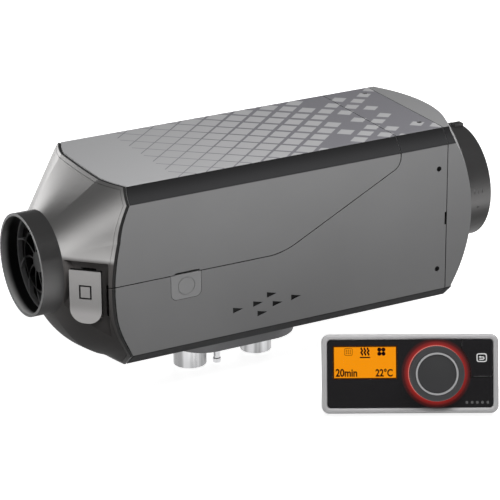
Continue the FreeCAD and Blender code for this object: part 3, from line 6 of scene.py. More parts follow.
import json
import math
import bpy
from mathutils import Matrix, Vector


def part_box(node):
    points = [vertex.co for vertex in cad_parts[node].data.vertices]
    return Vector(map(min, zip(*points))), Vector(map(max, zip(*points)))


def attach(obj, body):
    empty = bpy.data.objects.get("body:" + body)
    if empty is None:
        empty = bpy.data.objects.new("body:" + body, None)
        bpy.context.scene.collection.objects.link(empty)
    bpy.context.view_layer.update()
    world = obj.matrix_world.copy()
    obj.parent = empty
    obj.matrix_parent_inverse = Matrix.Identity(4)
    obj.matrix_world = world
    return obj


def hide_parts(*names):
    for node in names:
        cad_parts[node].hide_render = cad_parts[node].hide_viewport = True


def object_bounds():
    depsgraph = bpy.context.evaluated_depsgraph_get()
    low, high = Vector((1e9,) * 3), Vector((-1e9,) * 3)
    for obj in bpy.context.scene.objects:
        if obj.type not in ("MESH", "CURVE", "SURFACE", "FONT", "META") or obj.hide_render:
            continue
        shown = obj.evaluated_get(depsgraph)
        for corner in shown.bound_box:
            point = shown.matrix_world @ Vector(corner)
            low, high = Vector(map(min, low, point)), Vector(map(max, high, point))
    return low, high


bl_info = {
    "name": "Parking Heater",
    "version": (1, 0, 0),
    "blender": (4, 5, 0),
    "location": "View3D > Sidebar > Heater",
    "description": "Finishes, display, dial and stage of a parking heater with its control panel",
    "category": "Object",
}

import bmesh
import bpy
import numpy as np
from bpy.props import FloatProperty, FloatVectorProperty, IntProperty, PointerProperty
from mathutils import Matrix, Vector

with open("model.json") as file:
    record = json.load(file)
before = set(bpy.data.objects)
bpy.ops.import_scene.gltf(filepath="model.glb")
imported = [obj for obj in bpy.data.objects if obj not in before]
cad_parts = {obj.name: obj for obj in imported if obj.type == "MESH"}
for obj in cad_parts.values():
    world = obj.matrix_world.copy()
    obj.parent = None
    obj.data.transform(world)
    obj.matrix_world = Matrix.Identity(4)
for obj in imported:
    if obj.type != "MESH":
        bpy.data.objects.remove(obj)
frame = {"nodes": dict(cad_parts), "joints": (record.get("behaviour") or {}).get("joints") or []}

MM = 0.001


def corners(box):
    """The two corners of a box as plain lists."""
    return [[float(value) for value in corner] for corner in box]


CAD_BOX = corners(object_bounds())


def joint(name):
    return next(entry for entry in frame["joints"] if entry["name"] == name)


AIR_AXIS_Z = joint("rotor_spin")["pos_m"][2]


# Frame of the control panel: u to the right, v up the face, depth into it


def node_points(name):
    """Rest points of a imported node, one row each."""
    vertices = frame["nodes"][name].data.vertices
    flat = np.empty(3 * len(vertices))
    vertices.foreach_get("co", flat)
    return flat.reshape(-1, 3)


INTO = np.array(joint("key_press")["axis"])
INTO = INTO / np.linalg.norm(INTO)
UP = np.array((0.0, 0.0, 1.0)) - INTO * INTO[2]
UP = UP / np.linalg.norm(UP)
RIGHT = np.cross(INTO, UP)
FACE_AXES = np.stack((RIGHT, UP, INTO))
FRAME_SPAN = node_points("panel_frame") @ FACE_AXES.T
FACE_ORIGIN = np.array((
    (FRAME_SPAN[:, 0].min() + FRAME_SPAN[:, 0].max()) / 2,
    FRAME_SPAN[:, 1].min(),
    FRAME_SPAN[:, 2].min(),
))


def on_face(u, v, depth):
    """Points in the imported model's frame for face coordinates, which may be arrays that broadcast."""
    u, v, depth = np.broadcast_arrays(u, v, depth)
    return (np.stack((u, v, depth), axis=-1) + FACE_ORIGIN) @ FACE_AXES


def face_span(name):
    """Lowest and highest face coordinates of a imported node."""
    local = node_points(name) @ FACE_AXES.T - FACE_ORIGIN
    return local.min(axis=0), local.max(axis=0)


DIAL_U, DIAL_V, _ = np.array(joint("dial_turn")["pos_m"]) @ FACE_AXES.T - FACE_ORIGIN


# Places and sizes on the panel's face, in millimetres: right of its middle and up from its lower edge

KEY_SIGN = (61.0, 47.2)
KEY_SIGN_HALF = (4.0, 3.3)
KEY_SIGN_LINE_W = 0.9
ARROW_TAIL = ((-2.2, -1.3), (-0.4, -1.3))
ARROW_BEND = (1.0, -0.35)
ARROW_BEND_R = 0.95
ARROW_NECK = (-0.9, 0.6)
ARROW_HEAD = ((-2.6, 0.6), (-0.9, -0.45), (-0.9, 1.65))
# painted highlights: grey lines along the key's border
KEY_HIGHLIGHT_UPRIGHT = ((44.2, 57.0), (44.2, 61.2))
KEY_HIGHLIGHT_LEVEL = ((54.2, 31.4), (69.2, 31.4))
KEY_HIGHLIGHT_W = 0.3
DOTS_FROM = (48.2, 9.1)
DOTS_TO = (66.0, 9.1)
DOT_COUNT = 5
DOT_R = 1.15
MINUTES_BOX = ((-63.5, 31.4), (-45.1, 38.3))
DEGREES_BOX = ((-29.5, 31.4), (-14.8, 38.3))
HEAT_WAVES = ((-41.1, 52.9), (-38.4, 52.9), (-35.7, 52.9))
HEAT_WAVE_HALF = 3.2
HEAT_WAVE_SWING = 0.55
HEAT_WAVE_W = 1.35
HEAT_BAR = ((-42.8, 47.9), (-34.0, 47.9))
HEAT_BAR_W = 1.1
FAN_SIGN = (-24.4, 52.8)
FAN_BLADE_R = 1.75
TIMER_SIGN = (-52.5, 52.7)
TIMER_HALF = (3.3, 3.0)
TIMER_LINE_W = 0.55
TIMER_DAY_STEP = (1.7, 1.4)
TIMER_DAY_HALF = 0.5

# Tiles of the top: half size, shrinking and soft edge as shares of a cell, and the share of cells left empty

TILE_HALF = 0.475
TILE_SHRINK = 0.19
TILE_EDGE = 0.008
TILE_LOSS = 0.6

# Where finishes, painted shade and painted highlights change on the casing, the hoods, the latches and the
# guard

OUTLET_COLLAR_R = 55.4 * MM
OUTLET_DOME_END = 222.5 * MM
OUTLET_SHADE_DROP = 22.0 * MM
INLET_COLLAR_L = 19.3 * MM
INLET_BORE_R = 43.1 * MM
INLET_SHADE_DROP = 40.0 * MM
MOUTH_LIP = 1.0 * MM
MOUTH_DEPTH = 8.0 * MM
MOUTH_LIGHT_DROP = 60.0 * MM
LEDGE_OVER_LATCH = 4.0 * MM
LEDGE_FADE = 5.0 * MM
PAINTED_SHEEN_RISE = 28.0 * MM
GUARD_HIGHLIGHT = (24.0 * MM, 40.0 * MM)
THUMB_FROM = 7.0 * MM
THUMB_TO = 17.0 * MM
LATCH_SKIN = (0.5 * MM, 0.9 * MM)
SKIN_FROM = 0.5 * MM
SKIN_TO = 0.2 * MM
EDGE = 0.25 * MM
HOOD_METAL = 0.85


def face_point(place):
    """A place on the panel's face in metres."""
    return np.array(place) * MM


def colour(name, description, *default):
    return FloatVectorProperty(name=name, description=description, subtype="COLOR", size=3,
                               min=0.0, max=1.0, default=default)


def length(name, description, default):
    return FloatProperty(name=name, description=description, default=default, unit="LENGTH",
                         precision=5)


def power(name, description, default):
    return FloatProperty(name=name, description=description, default=default, unit="POWER")


def angle(name, description, degrees):
    return FloatProperty(name=name, description=description, subtype="ANGLE", default=math.radians(degrees))


class HeaterSizes(bpy.types.PropertyGroup):
    """Sizes that a user may change."""

    tile_length: length("Tile length", "Length of one lozenge of the top along the heater", 0.0265)
    tile_width: length("Tile width", "Width of one lozenge of the top across the heater", 0.0230)
    tiles_from: length("Tiles from", "Where the lozenges start, along the air flow", -0.076)
    tiles_to: length("Tiles to", "Where the lozenges are smallest", 0.200)
    top_level: length("Top level", "Height of the flat top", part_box("upper_cover")[1].z)
    half_width: length("Half width", "Casing's flat side from its middle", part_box("lower_casing")[1].y)
    bevel_in: length("Bevel in", "Width of the top's bevel seen from above", 0.0095)
    bevel_down: length("Bevel down", "Height of the top's bevel", 0.013)
    base_bevel_in: length("Base bevel in", "Width of the base's bevel seen from below", 0.0125)
    base_bevel_up: length("Base bevel up", "Height of the base's bevel", 0.0115)
    grain: length("Grain", "Size of the moulded grain", 0.0006)
    ridges: IntProperty(name="Ridges", description="Number of ridges around the dial", default=72, min=8)
    ridge_depth: length("Ridge depth", "Depth of the dial's ridges", 0.00035)
    stroke: length("Stroke", "Width of the lines of the display's signs", 0.00085)
    film: length("Film", "Thickness of printed signs", 0.00006)


class HeaterColours(bpy.types.PropertyGroup):
    """Colours that a user may change."""

    shell: colour("Shell", "Casing's sides", 0.225, 0.225, 0.227)
    # painted shade: the bevels' near-black stands in for the shade along the casing's edges
    strip: colour("Strip", "Bevels along the casing", 0.013, 0.013, 0.0135)
    tile: colour("Tile", "Plain top and lozenges", 0.325, 0.325, 0.330)
    ground: colour("Ground", "Top between the lozenges", 0.152, 0.150, 0.163)
    cap: colour("Cap", "Flat top of the outlet hood", 0.205, 0.205, 0.207)
    hood: colour("Hood", "Inlet hood", 0.295, 0.290, 0.287)
    latch: colour("Latch", "Latches of the hood", 0.270, 0.264, 0.261)
    collar: colour("Collar", "Duct collars", 0.128, 0.126, 0.126)
    # painted shade: the dark of the hood below its ledge and of the collars' undersides stands in for their
    # shade
    lower: colour("Lower hood", "Inlet hood below its ledge", 0.024, 0.0225, 0.022)
    # painted light: the collar's end and the mouth of its bore are painted light where light catches them
    mouth: colour("Mouth", "Inside of the inlet collar's mouth", 0.36, 0.36, 0.36)
    rubber: colour("Rubber", "Seals and gland", 0.018, 0.018, 0.018)
    dark: colour("Dark plastic", "Fan, boxes and housings", 0.022, 0.022, 0.024)
    board: colour("Board", "Circuit boards", 0.030, 0.160, 0.075)
    steel: colour("Steel", "Bright steel", 0.66, 0.66, 0.67)
    iron: colour("Iron", "Magnets and armature", 0.16, 0.155, 0.15)
    casting: colour("Casting", "Cast aluminium", 0.40, 0.40, 0.41)
    silver: colour("Silver", "Panel's frame", 0.51, 0.505, 0.51)
    face: colour("Face", "Panel's glossy front", 0.012, 0.0113, 0.0125)
    amber: colour("Amber", "Lit display", 0.913, 0.292, 0.0024)
    border: colour("Border", "Edge of the lit display", 0.035, 0.008, 0.001)
    ink: colour("Ink", "Display's dark signs", 0.020, 0.002, 0.002)
    glow: colour("Glow", "Red light around the dial", 0.30, 0.012, 0.009)
    # black of the guard, and painted shade inside the casing, in its pockets and seams, in the inlet bore and
    # in the latches' grooves
    inner: colour("Inner", "Guard, and inside and pockets of the casing", 0.006, 0.006, 0.006)
    grip: colour("Grip", "Dial's grip", 0.050, 0.050, 0.052)
    mark: colour("Mark", "Light signs on the panel", 0.62, 0.62, 0.62)
    floor: colour("Floor", "Stage floor", 0.80, 0.80, 0.80)


class HeaterStage(bpy.types.PropertyGroup):
    """Camera and light that a user may change."""

    eye: FloatVectorProperty(name="Eye", description="Camera's place", subtype="TRANSLATION", size=3,
                             default=(-1.0388, -1.9702, 0.9531))
    yaw: angle("Yaw", "Camera turned from +Y towards +X", 28.44)
    pitch: angle("Pitch", "Camera tipped down", 21.54)
    roll: angle("Roll", "Camera turned about its line of sight", -0.33)
    lens: FloatProperty(name="Lens", description="Focal length in millimetres", default=194.76)
    ambient: FloatProperty(name="Ambient", description="Strength of the surrounding light", default=0.13)
    front: power("Front light", "Power of the long panel above the front", 7.6)
    back: power("Back light", "Power of the small panel behind the inlet", 2.4)
    side: power("Side light", "Power of the low panel at the left", 6.0)
    far: power("Far light", "Power of the low panel behind the outlet", 13.0)


# Materials


class Wire:
    """An output socket; plain arithmetic on it adds Math nodes to its material."""

    def __init__(self, finish, socket):
        self.finish = finish
        self.socket = socket

    def math(self, operation, *values):
        return self.finish.node("ShaderNodeMath", {"operation": operation}, dict(enumerate(values)))

    def __add__(self, other):
        return self.math("ADD", self, other)

    def __radd__(self, other):
        return self.math("ADD", other, self)

    def __sub__(self, other):
        return self.math("SUBTRACT", self, other)

    def __rsub__(self, other):
        return self.math("SUBTRACT", other, self)

    def __mul__(self, other):
        return self.math("MULTIPLY", self, other)

    def __rmul__(self, other):
        return self.math("MULTIPLY", other, self)

    def __truediv__(self, other):
        return self.math("DIVIDE", self, other)

    def __abs__(self):
        return self.math("ABSOLUTE", self)

    def larger(self, other):
        return self.math("MAXIMUM", self, other)

    def root(self):
        return self.math("SQRT", self)

    def fraction(self):
        return self.math("FRACT", self)

    def whole(self):
        return self.math("FLOOR", self)

    def step(self, start, end, low=0.0, high=1.0):
        """Smooth step from low at start to high at end, level outside."""
        settings = {"interpolation_type": "SMOOTHSTEP"}
        inputs = {0: self, 1: start, 2: end, 3: low, 4: high}
        return self.finish.node("ShaderNodeMapRange", settings, inputs)

    def fall(self, start, end):
        """Smooth step down from 1 at start to 0 at end."""
        return self.step(start, end, 1.0, 0.0)


class Finish:
    """A new material with one Principled shader."""

    def __init__(self, name, **constants):
        self.material = bpy.data.materials.new(name)
        self.material.use_nodes = True
        self.tree = self.material.node_tree
        self.shader = self.tree.nodes["Principled BSDF"]
        self.place = self.node("ShaderNodeTexCoord", {}, {}, "Object")
        for socket, value in constants.items():
            self.feed(socket.replace("_", " ").title().replace("Ior", "IOR"), value)

    def put(self, socket, value):
        """Link a wire to a socket, or set the socket's own value."""
        if isinstance(value, Wire):
            self.tree.links.new(value.socket, socket)
        elif socket.type == "RGBA":
            socket.default_value = (*value, 1.0)
        else:
            socket.default_value = value

    def node(self, kind, settings, inputs, output=0):
        """Add any node: settings first, then values or wires by socket index or name."""
        added = self.tree.nodes.new(kind)
        for name, value in settings.items():
            setattr(added, name, value)
        for key, value in inputs.items():
            self.put(added.inputs[key], value)
        return Wire(self, added.outputs[output])

    def feed(self, socket, value):
        self.put(self.shader.inputs[socket], value)

    def fed(self, socket):
        """The wire that feeds a socket of the shader."""
        return Wire(self, self.shader.inputs[socket].links[0].from_socket)

    def axes(self):
        """The x, y and z of Object coordinates."""
        split = self.node("ShaderNodeSeparateXYZ", {}, {0: self.place})
        return split, Wire(self, split.socket.node.outputs[1]), Wire(self, split.socket.node.outputs[2])

    def vector_math(self, operation, *values, output=0):
        return self.node("ShaderNodeVectorMath", {"operation": operation}, dict(enumerate(values)), output)

    def along(self, direction):
        """Distance along a direction in Object coordinates."""
        return self.vector_math("DOT_PRODUCT", self.place, direction, output="Value")

    def from_air_axis(self):
        """Distance from the line that the fan turns about."""
        _, y, z = self.axes()
        rise = z - AIR_AXIS_Z
        return (y * y + rise * rise).root()

    def under_air_axis(self, drop):
        """1 from drop below the fan's axis down, 0 from an eighth of that up."""
        _, _, z = self.axes()
        return z.fall(AIR_AXIS_Z - drop, AIR_AXIS_Z - drop / 8)

    def noise(self, scale, detail=2.0, stretch=None):
        """Noise with the given number of features per metre, drawn out by stretch."""
        vector = self.place
        if stretch:
            vector = self.node("ShaderNodeMapping", {}, {"Vector": vector, "Scale": stretch})
        return self.node("ShaderNodeTexNoise", {}, {"Vector": vector, "Scale": scale, "Detail": detail})

    def blend(self, factor, first, second):
        settings = {"data_type": "RGBA"}
        return self.node("ShaderNodeMix", settings, {0: factor, 6: first, 7: second}, 2)

    def bump(self, height, depth):
        """Normal from a height of 0 to 1 that stands for depth in metres."""
        self.feed("Normal", self.node("ShaderNodeBump", {}, {"Height": height, "Distance": depth}))


def shade(base, amount):
    """A colour made lighter or darker."""
    return tuple(min(1.0, channel * amount) for channel in base)


def look():
    return bpy.context.scene.heater_colours


def sizes():
    return bpy.context.scene.heater_sizes


def moulded(name, base, rough, metal=0.0, grain=None, depth=0.00003):
    """Moulded plastic: a cloud in the colour, fine grain in the gloss and the bump."""
    finish = Finish(name, metallic=metal)
    cloud = finish.noise(18.0, 3.0)
    fine = finish.noise(1.0 / (grain or sizes().grain), 3.0)
    finish.feed("Base Color", finish.blend(cloud, shade(base, 0.90), shade(base, 1.10)))
    finish.feed("Roughness", fine * 0.10 + (rough - 0.05))
    finish.bump(fine, depth)
    return finish


def rubber(name, base):
    """Matt rubber: dusty patches and a soft skin."""
    finish = Finish(name)
    dust = finish.noise(60.0, 5.0)
    skin = finish.noise(1500.0, 2.0)
    finish.feed("Base Color", finish.blend(dust, base, shade(base, 1.8)))
    finish.feed("Roughness", dust * 0.2 + 0.62)
    finish.bump(skin, 0.00004)
    return finish


UPRIGHT = (900.0, 900.0, 8.0)
ALONG_X = (8.0, 900.0, 900.0)
ROUND = (500.0, 500.0, 500.0)


def tube_metal(name, base):
    """Polished tube: broad upright streaks from dark to bright over a fine drawn grain."""
    finish = Finish(name, metallic=0.9)
    broad = finish.noise(1.0, 2.0, (110.0, 110.0, 3.0)).step(0.36, 0.60)
    fine = finish.noise(1.0, 4.0, UPRIGHT)
    finish.feed("Base Color", finish.blend(broad, shade(base, 0.45), base))
    finish.feed("Roughness", fine * 0.2 + 0.2)
    finish.bump(fine, 0.00002)
    return finish


def drawn_metal(name, base, rough, stretch):
    """Bright metal with fine streaks; stretch is small along the streaks."""
    finish = Finish(name, metallic=1.0)
    streak = finish.noise(1.0, 4.0, stretch)
    stain = finish.noise(45.0, 3.0)
    finish.feed("Base Color", finish.blend(stain, shade(base, 0.82), shade(base, 1.08)))
    finish.feed("Roughness", streak * 0.22 + (rough - 0.11))
    finish.bump(streak, 0.00002)
    return finish


def cast_metal(name, base, rough=0.5):
    """Cast aluminium: pebbled skin with darker hollows."""
    finish = Finish(name, metallic=0.85)
    pebble = finish.noise(650.0, 4.0)
    stain = finish.noise(28.0, 4.0)
    mottled = finish.blend(stain, shade(base, 0.75), shade(base, 1.1))
    finish.feed("Base Color", finish.blend(pebble.step(0.35, 0.6), shade(base, 0.85), mottled))
    finish.feed("Roughness", pebble * 0.2 + (rough - 0.1))
    finish.bump(pebble, 0.00004)
    return finish


def exchanger_finish():
    """Heat exchanger: bright casting inside the casing, with painted shade on the foot below it."""
    base = look().casting
    finish = cast_metal("exchanger_casting", base)
    _, _, z = finish.axes()
    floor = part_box("lower_casing")[0].z
    inside = z.step(floor + 1.0 * MM, floor + 4.0 * MM)
    # painted shade: the foot below the casing is painted dark
    foot_shade = shade(base, 0.27)
    finish.feed("Base Color", finish.blend(inside, foot_shade, finish.fed("Base Color")))
    return finish


def circuit(name, base):
    """Circuit board: solder mask with straight copper runs and pale pads."""
    finish = Finish(name)
    x, y, _ = finish.axes()
    runs = abs((x * 320.0 + y * 60.0).fraction() - 0.5).fall(0.06, 0.12)
    pads = finish.noise(240.0, 0.0).step(0.64, 0.68)
    masked = finish.blend(runs, base, shade(base, 1.7))
    finish.feed("Base Color", finish.blend(pads, masked, look().mark))
    finish.feed("Roughness", 0.45 - pads * 0.2)
    finish.feed("Metallic", pads * 0.8)
    finish.bump(runs, 0.00003)
    return finish


def bevel_masks(finish):
    """1 on the casing's top and base bevels: the distance along each bevel's normal reaches its plane."""
    size = sizes()
    _, y, z = finish.axes()
    out = abs(y)
    top = math.hypot(size.bevel_in, size.bevel_down)
    top_out, top_up = size.bevel_down / top, size.bevel_in / top
    top_plane = size.half_width * top_out + (size.top_level - size.bevel_down) * top_up
    base = math.hypot(size.base_bevel_in, size.base_bevel_up)
    base_out, base_up = size.base_bevel_up / base, size.base_bevel_in / base
    base_plane = size.half_width * base_out - (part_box("lower_casing")[0].z + size.base_bevel_up) * base_up
    near, on = 0.7 * MM, 0.25 * MM
    over = (out * top_out + z * top_up).step(top_plane - near, top_plane - on)
    under = (out * base_out - z * base_up).step(base_plane - near, base_plane - on)
    return over, under


def pockets(finish):
    """1 inside the flat sides and ahead of the outlet hood's seam, where joints and hollows get painted
    shade.
    """
    size = sizes()
    x, y, z = finish.axes()
    low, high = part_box("lower_casing")
    depth = 0.3 * MM
    deep = abs(y).fall(size.half_width - depth, size.half_width - depth / 2)
    level = z.step(low.z + size.base_bevel_up + depth, low.z + size.base_bevel_up + 3 * depth)
    level = level * z.fall(high.z - size.bevel_down - 3 * depth, high.z - size.bevel_down - depth)
    gap = 1.0 * MM
    ahead = x.fall(high.x + gap, high.x + 2 * gap)
    return deep * level * ahead


def lozenges(finish):
    """1 on the tiles of the top, 0 between them.

    Skewed axes a = x / length + y / width and b = x / length - y / width make each unit cell a lozenge.
    The tile in it shrinks along the heater, and some cells are left empty by a random number per cell.
    """
    size = sizes()
    x, y, _ = finish.axes()
    a = x / size.tile_length + y / size.tile_width
    b = x / size.tile_length - y / size.tile_width
    reach = abs(a.fraction() - 0.5).larger(abs(b.fraction() - 0.5))
    cell_x = a.whole() + b.whole()
    cell = finish.node("ShaderNodeCombineXYZ", {}, {0: a.whole(), 1: b.whole()})
    luck = finish.node("ShaderNodeTexWhiteNoise", {"noise_dimensions": "2D"}, {"Vector": cell}, "Value")
    grow = (cell_x * (size.tile_length / 2)).step(size.tiles_from, size.tiles_to)
    edge = TILE_HALF - grow * TILE_SHRINK
    tile = (edge - reach).step(-TILE_EDGE, TILE_EDGE)
    kept = (luck - (grow * grow * TILE_LOSS - 0.02)).step(-0.01, 0.01)
    plain = x.fall(size.tiles_from - 0.5 * MM, size.tiles_from)
    return (tile * kept).larger(plain)


def shell_finish(name, tiled):
    """Casing plastic: grey sides with painted shade towards the base, a flat top with or without tiles,
    painted shade on the bevels and in the pockets, with moulded grain.
    """
    tint = look()
    size = sizes()
    low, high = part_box("lower_casing")
    finish = Finish(name, specular_ior_level=0.2)
    _, _, z = finish.axes()
    cloud = finish.noise(14.0, 3.0)
    fine = finish.noise(1.0 / size.grain, 3.0)
    over, under = bevel_masks(finish)
    top = z.step(size.top_level - SKIN_FROM, size.top_level - SKIN_TO)
    # painted shade: the sides are about a quarter darker at the base than at the top
    rise = cloud * 0.4 + z.step(low.z, high.z) * 0.6
    side = finish.blend(rise, shade(tint.shell, 0.79), shade(tint.shell, 1.10))
    cover = finish.blend(lozenges(finish), tint.ground, tint.tile) if tiled else tint.cap
    painted = finish.blend(top, side, cover)
    # painted shade on the top and base bevels: darkest at the top edge, lighter down the bevel and on the
    # base bevel
    strip = over.larger(under) * (1.0 - top)
    fall = z.fall(size.top_level - size.bevel_down, size.top_level)
    painted = finish.blend(strip, painted, finish.blend(fall, tint.strip, shade(tint.strip, 2.4)))
    # painted shade: the pockets and hollows are painted near-black
    finish.feed("Base Color", finish.blend(pockets(finish), painted, tint.inner))
    finish.feed("Roughness", fine * 0.10 + 0.42 + strip * 0.4)
    finish.bump(fine, 0.00003)
    return finish


def outlet_finish():
    """Outlet hood: the casing's plastic with painted shade in its seam, and a darker collar inside the
    collar's radius beyond the dome, with painted shade on the collar's underside.
    """
    finish = shell_finish("outlet_shell", False)
    x, _, _ = finish.axes()
    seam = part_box("lower_casing")[1].x
    # painted shade: the hood's skirt inside the seam is painted near-black
    seam_shade = x.fall(seam + 0.1 * MM, seam + 0.3 * MM)
    shell = finish.blend(seam_shade, finish.fed("Base Color"), look().inner)
    inside = finish.from_air_axis().fall(OUTLET_COLLAR_R - EDGE, OUTLET_COLLAR_R + EDGE)
    collar = inside * x.step(OUTLET_DOME_END - 2 * EDGE, OUTLET_DOME_END + 2 * EDGE)
    # painted shade on the collar's underside, below the fan's axis
    under = finish.under_air_axis(OUTLET_SHADE_DROP)
    finish.feed("Base Color", finish.blend(collar, shell, finish.blend(under, look().collar, look().lower)))
    finish.feed("Metallic", collar * (HOOD_METAL - under * HOOD_METAL))
    return finish


def hood_finish(name, base):
    """Satin paint; what uses it says how far it is metal."""
    finish = Finish(name, specular_ior_level=0.12)
    cloud = finish.noise(16.0, 3.0)
    fine = finish.noise(1.0 / sizes().grain, 3.0)
    finish.feed("Base Color", finish.blend(cloud, shade(base, 0.95), shade(base, 1.05)))
    finish.feed("Roughness", fine * 0.06 + 0.32)
    finish.bump(fine, 0.00002)
    return finish


def lower_hood(finish):
    """Painted sheen: lighten the hood towards the ledge over the latches; painted shade: darken all below it;
    returns the mask below.
    """
    tint = look()
    _, _, z = finish.axes()
    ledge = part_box("near_latch")[1].z + LEDGE_OVER_LATCH
    below = z.fall(ledge, ledge + LEDGE_FADE)
    # painted sheen: the hood is up to 1.4 times lighter at the ledge, fading upwards
    near = z.fall(ledge, ledge + PAINTED_SHEEN_RISE)
    bright = finish.blend(near, finish.fed("Base Color"), shade(tint.hood, 1.4))
    # painted shade below the ledge: dark at the lowest edge, five times lighter at the ledge
    rise = z.step(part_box("inlet_hood")[0].z, ledge)
    dark = finish.blend(rise, tint.lower, shade(tint.lower, 5.0))
    finish.feed("Base Color", finish.blend(below, bright, dark))
    return below


def inlet_finish():
    """Inlet hood: satin with a painted sheen towards the ledge and painted shade below it; a dark collar with
    painted shade underneath and inside its bore, and painted light on its end and its mouth.
    """
    tint = look()
    finish = hood_finish("hood_satin", tint.hood)
    below = lower_hood(finish)
    x, _, _ = finish.axes()
    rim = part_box("inlet_hood")[0].x
    collar = x.fall(rim + INLET_COLLAR_L - EDGE, rim + INLET_COLLAR_L + EDGE)
    end = x.fall(rim + 0.1 * MM, rim + 0.4 * MM)
    wall = finish.from_air_axis().fall(INLET_BORE_R - EDGE, INLET_BORE_R + EDGE)
    mouth = end.larger(wall * x.fall(rim + MOUTH_LIP, rim + MOUTH_DEPTH))
    # painted shade on the collar's underside, below the fan's axis
    under = finish.under_air_axis(INLET_SHADE_DROP)
    outside = finish.blend(under, tint.collar, tint.lower)
    # painted shade: the bore beyond the mouth is painted near-black
    painted = finish.blend(collar, finish.fed("Base Color"), finish.blend(wall, outside, tint.inner))
    # painted light: the mouth is lighter still towards its bottom
    lit = finish.under_air_axis(MOUTH_LIGHT_DROP) * (1.0 - end)
    pale = finish.blend(lit, tint.mouth, shade(tint.mouth, 2.3))
    finish.feed("Base Color", finish.blend(mouth, painted, pale))
    dull = (collar * under + (1.0 - collar) * below).larger(mouth)
    finish.feed("Metallic", HOOD_METAL - dull * HOOD_METAL)
    finish.feed("Roughness", finish.fed("Roughness") + below * 0.25)
    return finish


def guard_finish():
    """Inlet guard: black, with a painted highlight, paler and partly metal, where its spokes near the collar.
    """
    finish = moulded("guard_plastic", look().inner, 0.3)
    finish.feed("Specular IOR Level", 0.1)
    # painted highlight on the spokes' outer ends
    outer = finish.from_air_axis().step(*GUARD_HIGHLIGHT)
    finish.feed("Base Color", finish.blend(outer, finish.fed("Base Color"), shade(look().steel, 0.6)))
    finish.feed("Metallic", outer * 0.6)
    return finish


def rim_finish():
    """Hood's rim: as the hood, with its painted sheen and shade, but black at the casing's outer surface:
    painted shade on the bevels and a dark seam line elsewhere.
    """
    size = sizes()
    finish = hood_finish("rim_satin", look().hood)
    below = lower_hood(finish)
    over, under = bevel_masks(finish)
    _, y, z = finish.axes()
    flat = (abs(y) - size.half_width).larger(z - size.top_level).step(-SKIN_FROM, -SKIN_TO)
    # painted shade on the bevels carried over the rim, and a dark seam line on the flat sides and top
    skin = over.larger(under).larger(flat)
    finish.feed("Base Color", finish.blend(skin, finish.fed("Base Color"), look().rubber))
    finish.feed("Metallic", HOOD_METAL - skin.larger(below) * HOOD_METAL)
    return finish


def latch_finish():
    """Latch: satin front with painted shade across its middle and painted highlights at both ends; its groove
    and its sides, behind the front, are painted black as shade.
    """
    base = look().latch
    points = node_points("near_latch")
    axis = np.array(joint("near_latch_swing")["axis"])
    out_x, out_y = -abs(float(axis[1])), abs(float(axis[0]))
    front = float((points[:, 0] * out_x + np.abs(points[:, 1]) * out_y).max())
    finish = hood_finish("latch_satin", base)
    x, y, z = finish.axes()
    low, high = (float(level) for level in (points[:, 2].min(), points[:, 2].max()))
    thumb_highlight = z.fall(low + THUMB_FROM, low + THUMB_TO)
    head = z.step(low + THUMB_TO, high)
    # painted highlights at both ends and painted shade across the middle
    painted = finish.blend(thumb_highlight.larger(head * 0.7), shade(base, 0.72), finish.fed("Base Color"))
    # painted shade: the groove and the sides behind the front are painted near-black
    deep = (front - (x * out_x + abs(y) * out_y)).step(*LATCH_SKIN)
    finish.feed("Base Color", finish.blend(deep, painted, look().inner))
    finish.feed("Metallic", 0.8 - deep * 0.8)
    return finish


def glow_rings(finish, stops):
    """Emission by distance from the dial's axis; stops are (radius, colour) pairs, outwards.

    The distance is the length of (p - c) x axis.
    """
    middle = on_face(DIAL_U, DIAL_V, 0.0)
    arm = finish.vector_math("SUBTRACT", finish.place, tuple(middle))
    square = finish.vector_math("CROSS_PRODUCT", arm, tuple(INTO))
    radius = finish.vector_math("LENGTH", square, output="Value")
    light = stops[0][1]
    for (start, _), (end, shine) in zip(stops, stops[1:]):
        light = finish.blend(radius.step(start, end), light, shine)
    finish.feed("Emission Color", light)
    finish.feed("Emission Strength", 1.0)


def glow_stops():
    """Radii and colours of the red light, from the dial's edge outwards."""
    glow = look().glow
    bright_line = (0.79, 0.26, 0.22)
    return (
        (22.9 * MM, shade(glow, 0.8)),
        (23.4 * MM, bright_line),
        (24.2 * MM, glow),
        (26.0 * MM, shade(glow, 0.6)),
        (28.0 * MM, shade(glow, 0.16)),
        (30.5 * MM, (0.0, 0.0, 0.0)),
    )


def gloss_face(name):
    """Glossy black front with faint swirls in the gloss; the dial's red light falls off across it."""
    finish = Finish(name, base_color=look().face, coat_weight=0.3, specular_ior_level=0.4)
    wipe = finish.noise(30.0, 5.0)
    finish.feed("Roughness", wipe * 0.14 + 0.16)
    finish.bump(finish.noise(500.0, 2.0), 0.000004)
    glow_rings(finish, glow_stops())
    return finish


def amber_display():
    """Lit display: amber with a fine grid of cells, and a dark brown border inside its window."""
    tint = look()
    finish = Finish("display_light", base_color=(0.02, 0.01, 0.0), roughness=0.4, specular_ior_level=0.0)
    u = finish.along(tuple(RIGHT))
    v = finish.along(tuple(UP))
    pitch = 0.45 * MM
    cells = abs((u / pitch).fraction() - 0.5).larger(abs((v / pitch).fraction() - 0.5))
    lines = cells.step(0.40, 0.49)
    lit = finish.blend(lines, tint.amber, shade(tint.amber, 0.93))
    low, high = face_span("display_glass")
    middle = (low + high) / 2 + FACE_ORIGIN
    border = 1.1 * MM
    half = (high - low) / 2 - border
    beyond = (abs(u - float(middle[0])) - float(half[0])).larger(abs(v - float(middle[1])) - float(half[1]))
    finish.feed("Emission Color", finish.blend(beyond.step(-0.2 * MM, 0.3 * MM), lit, tint.border))
    finish.feed("Emission Strength", 1.0)
    return finish


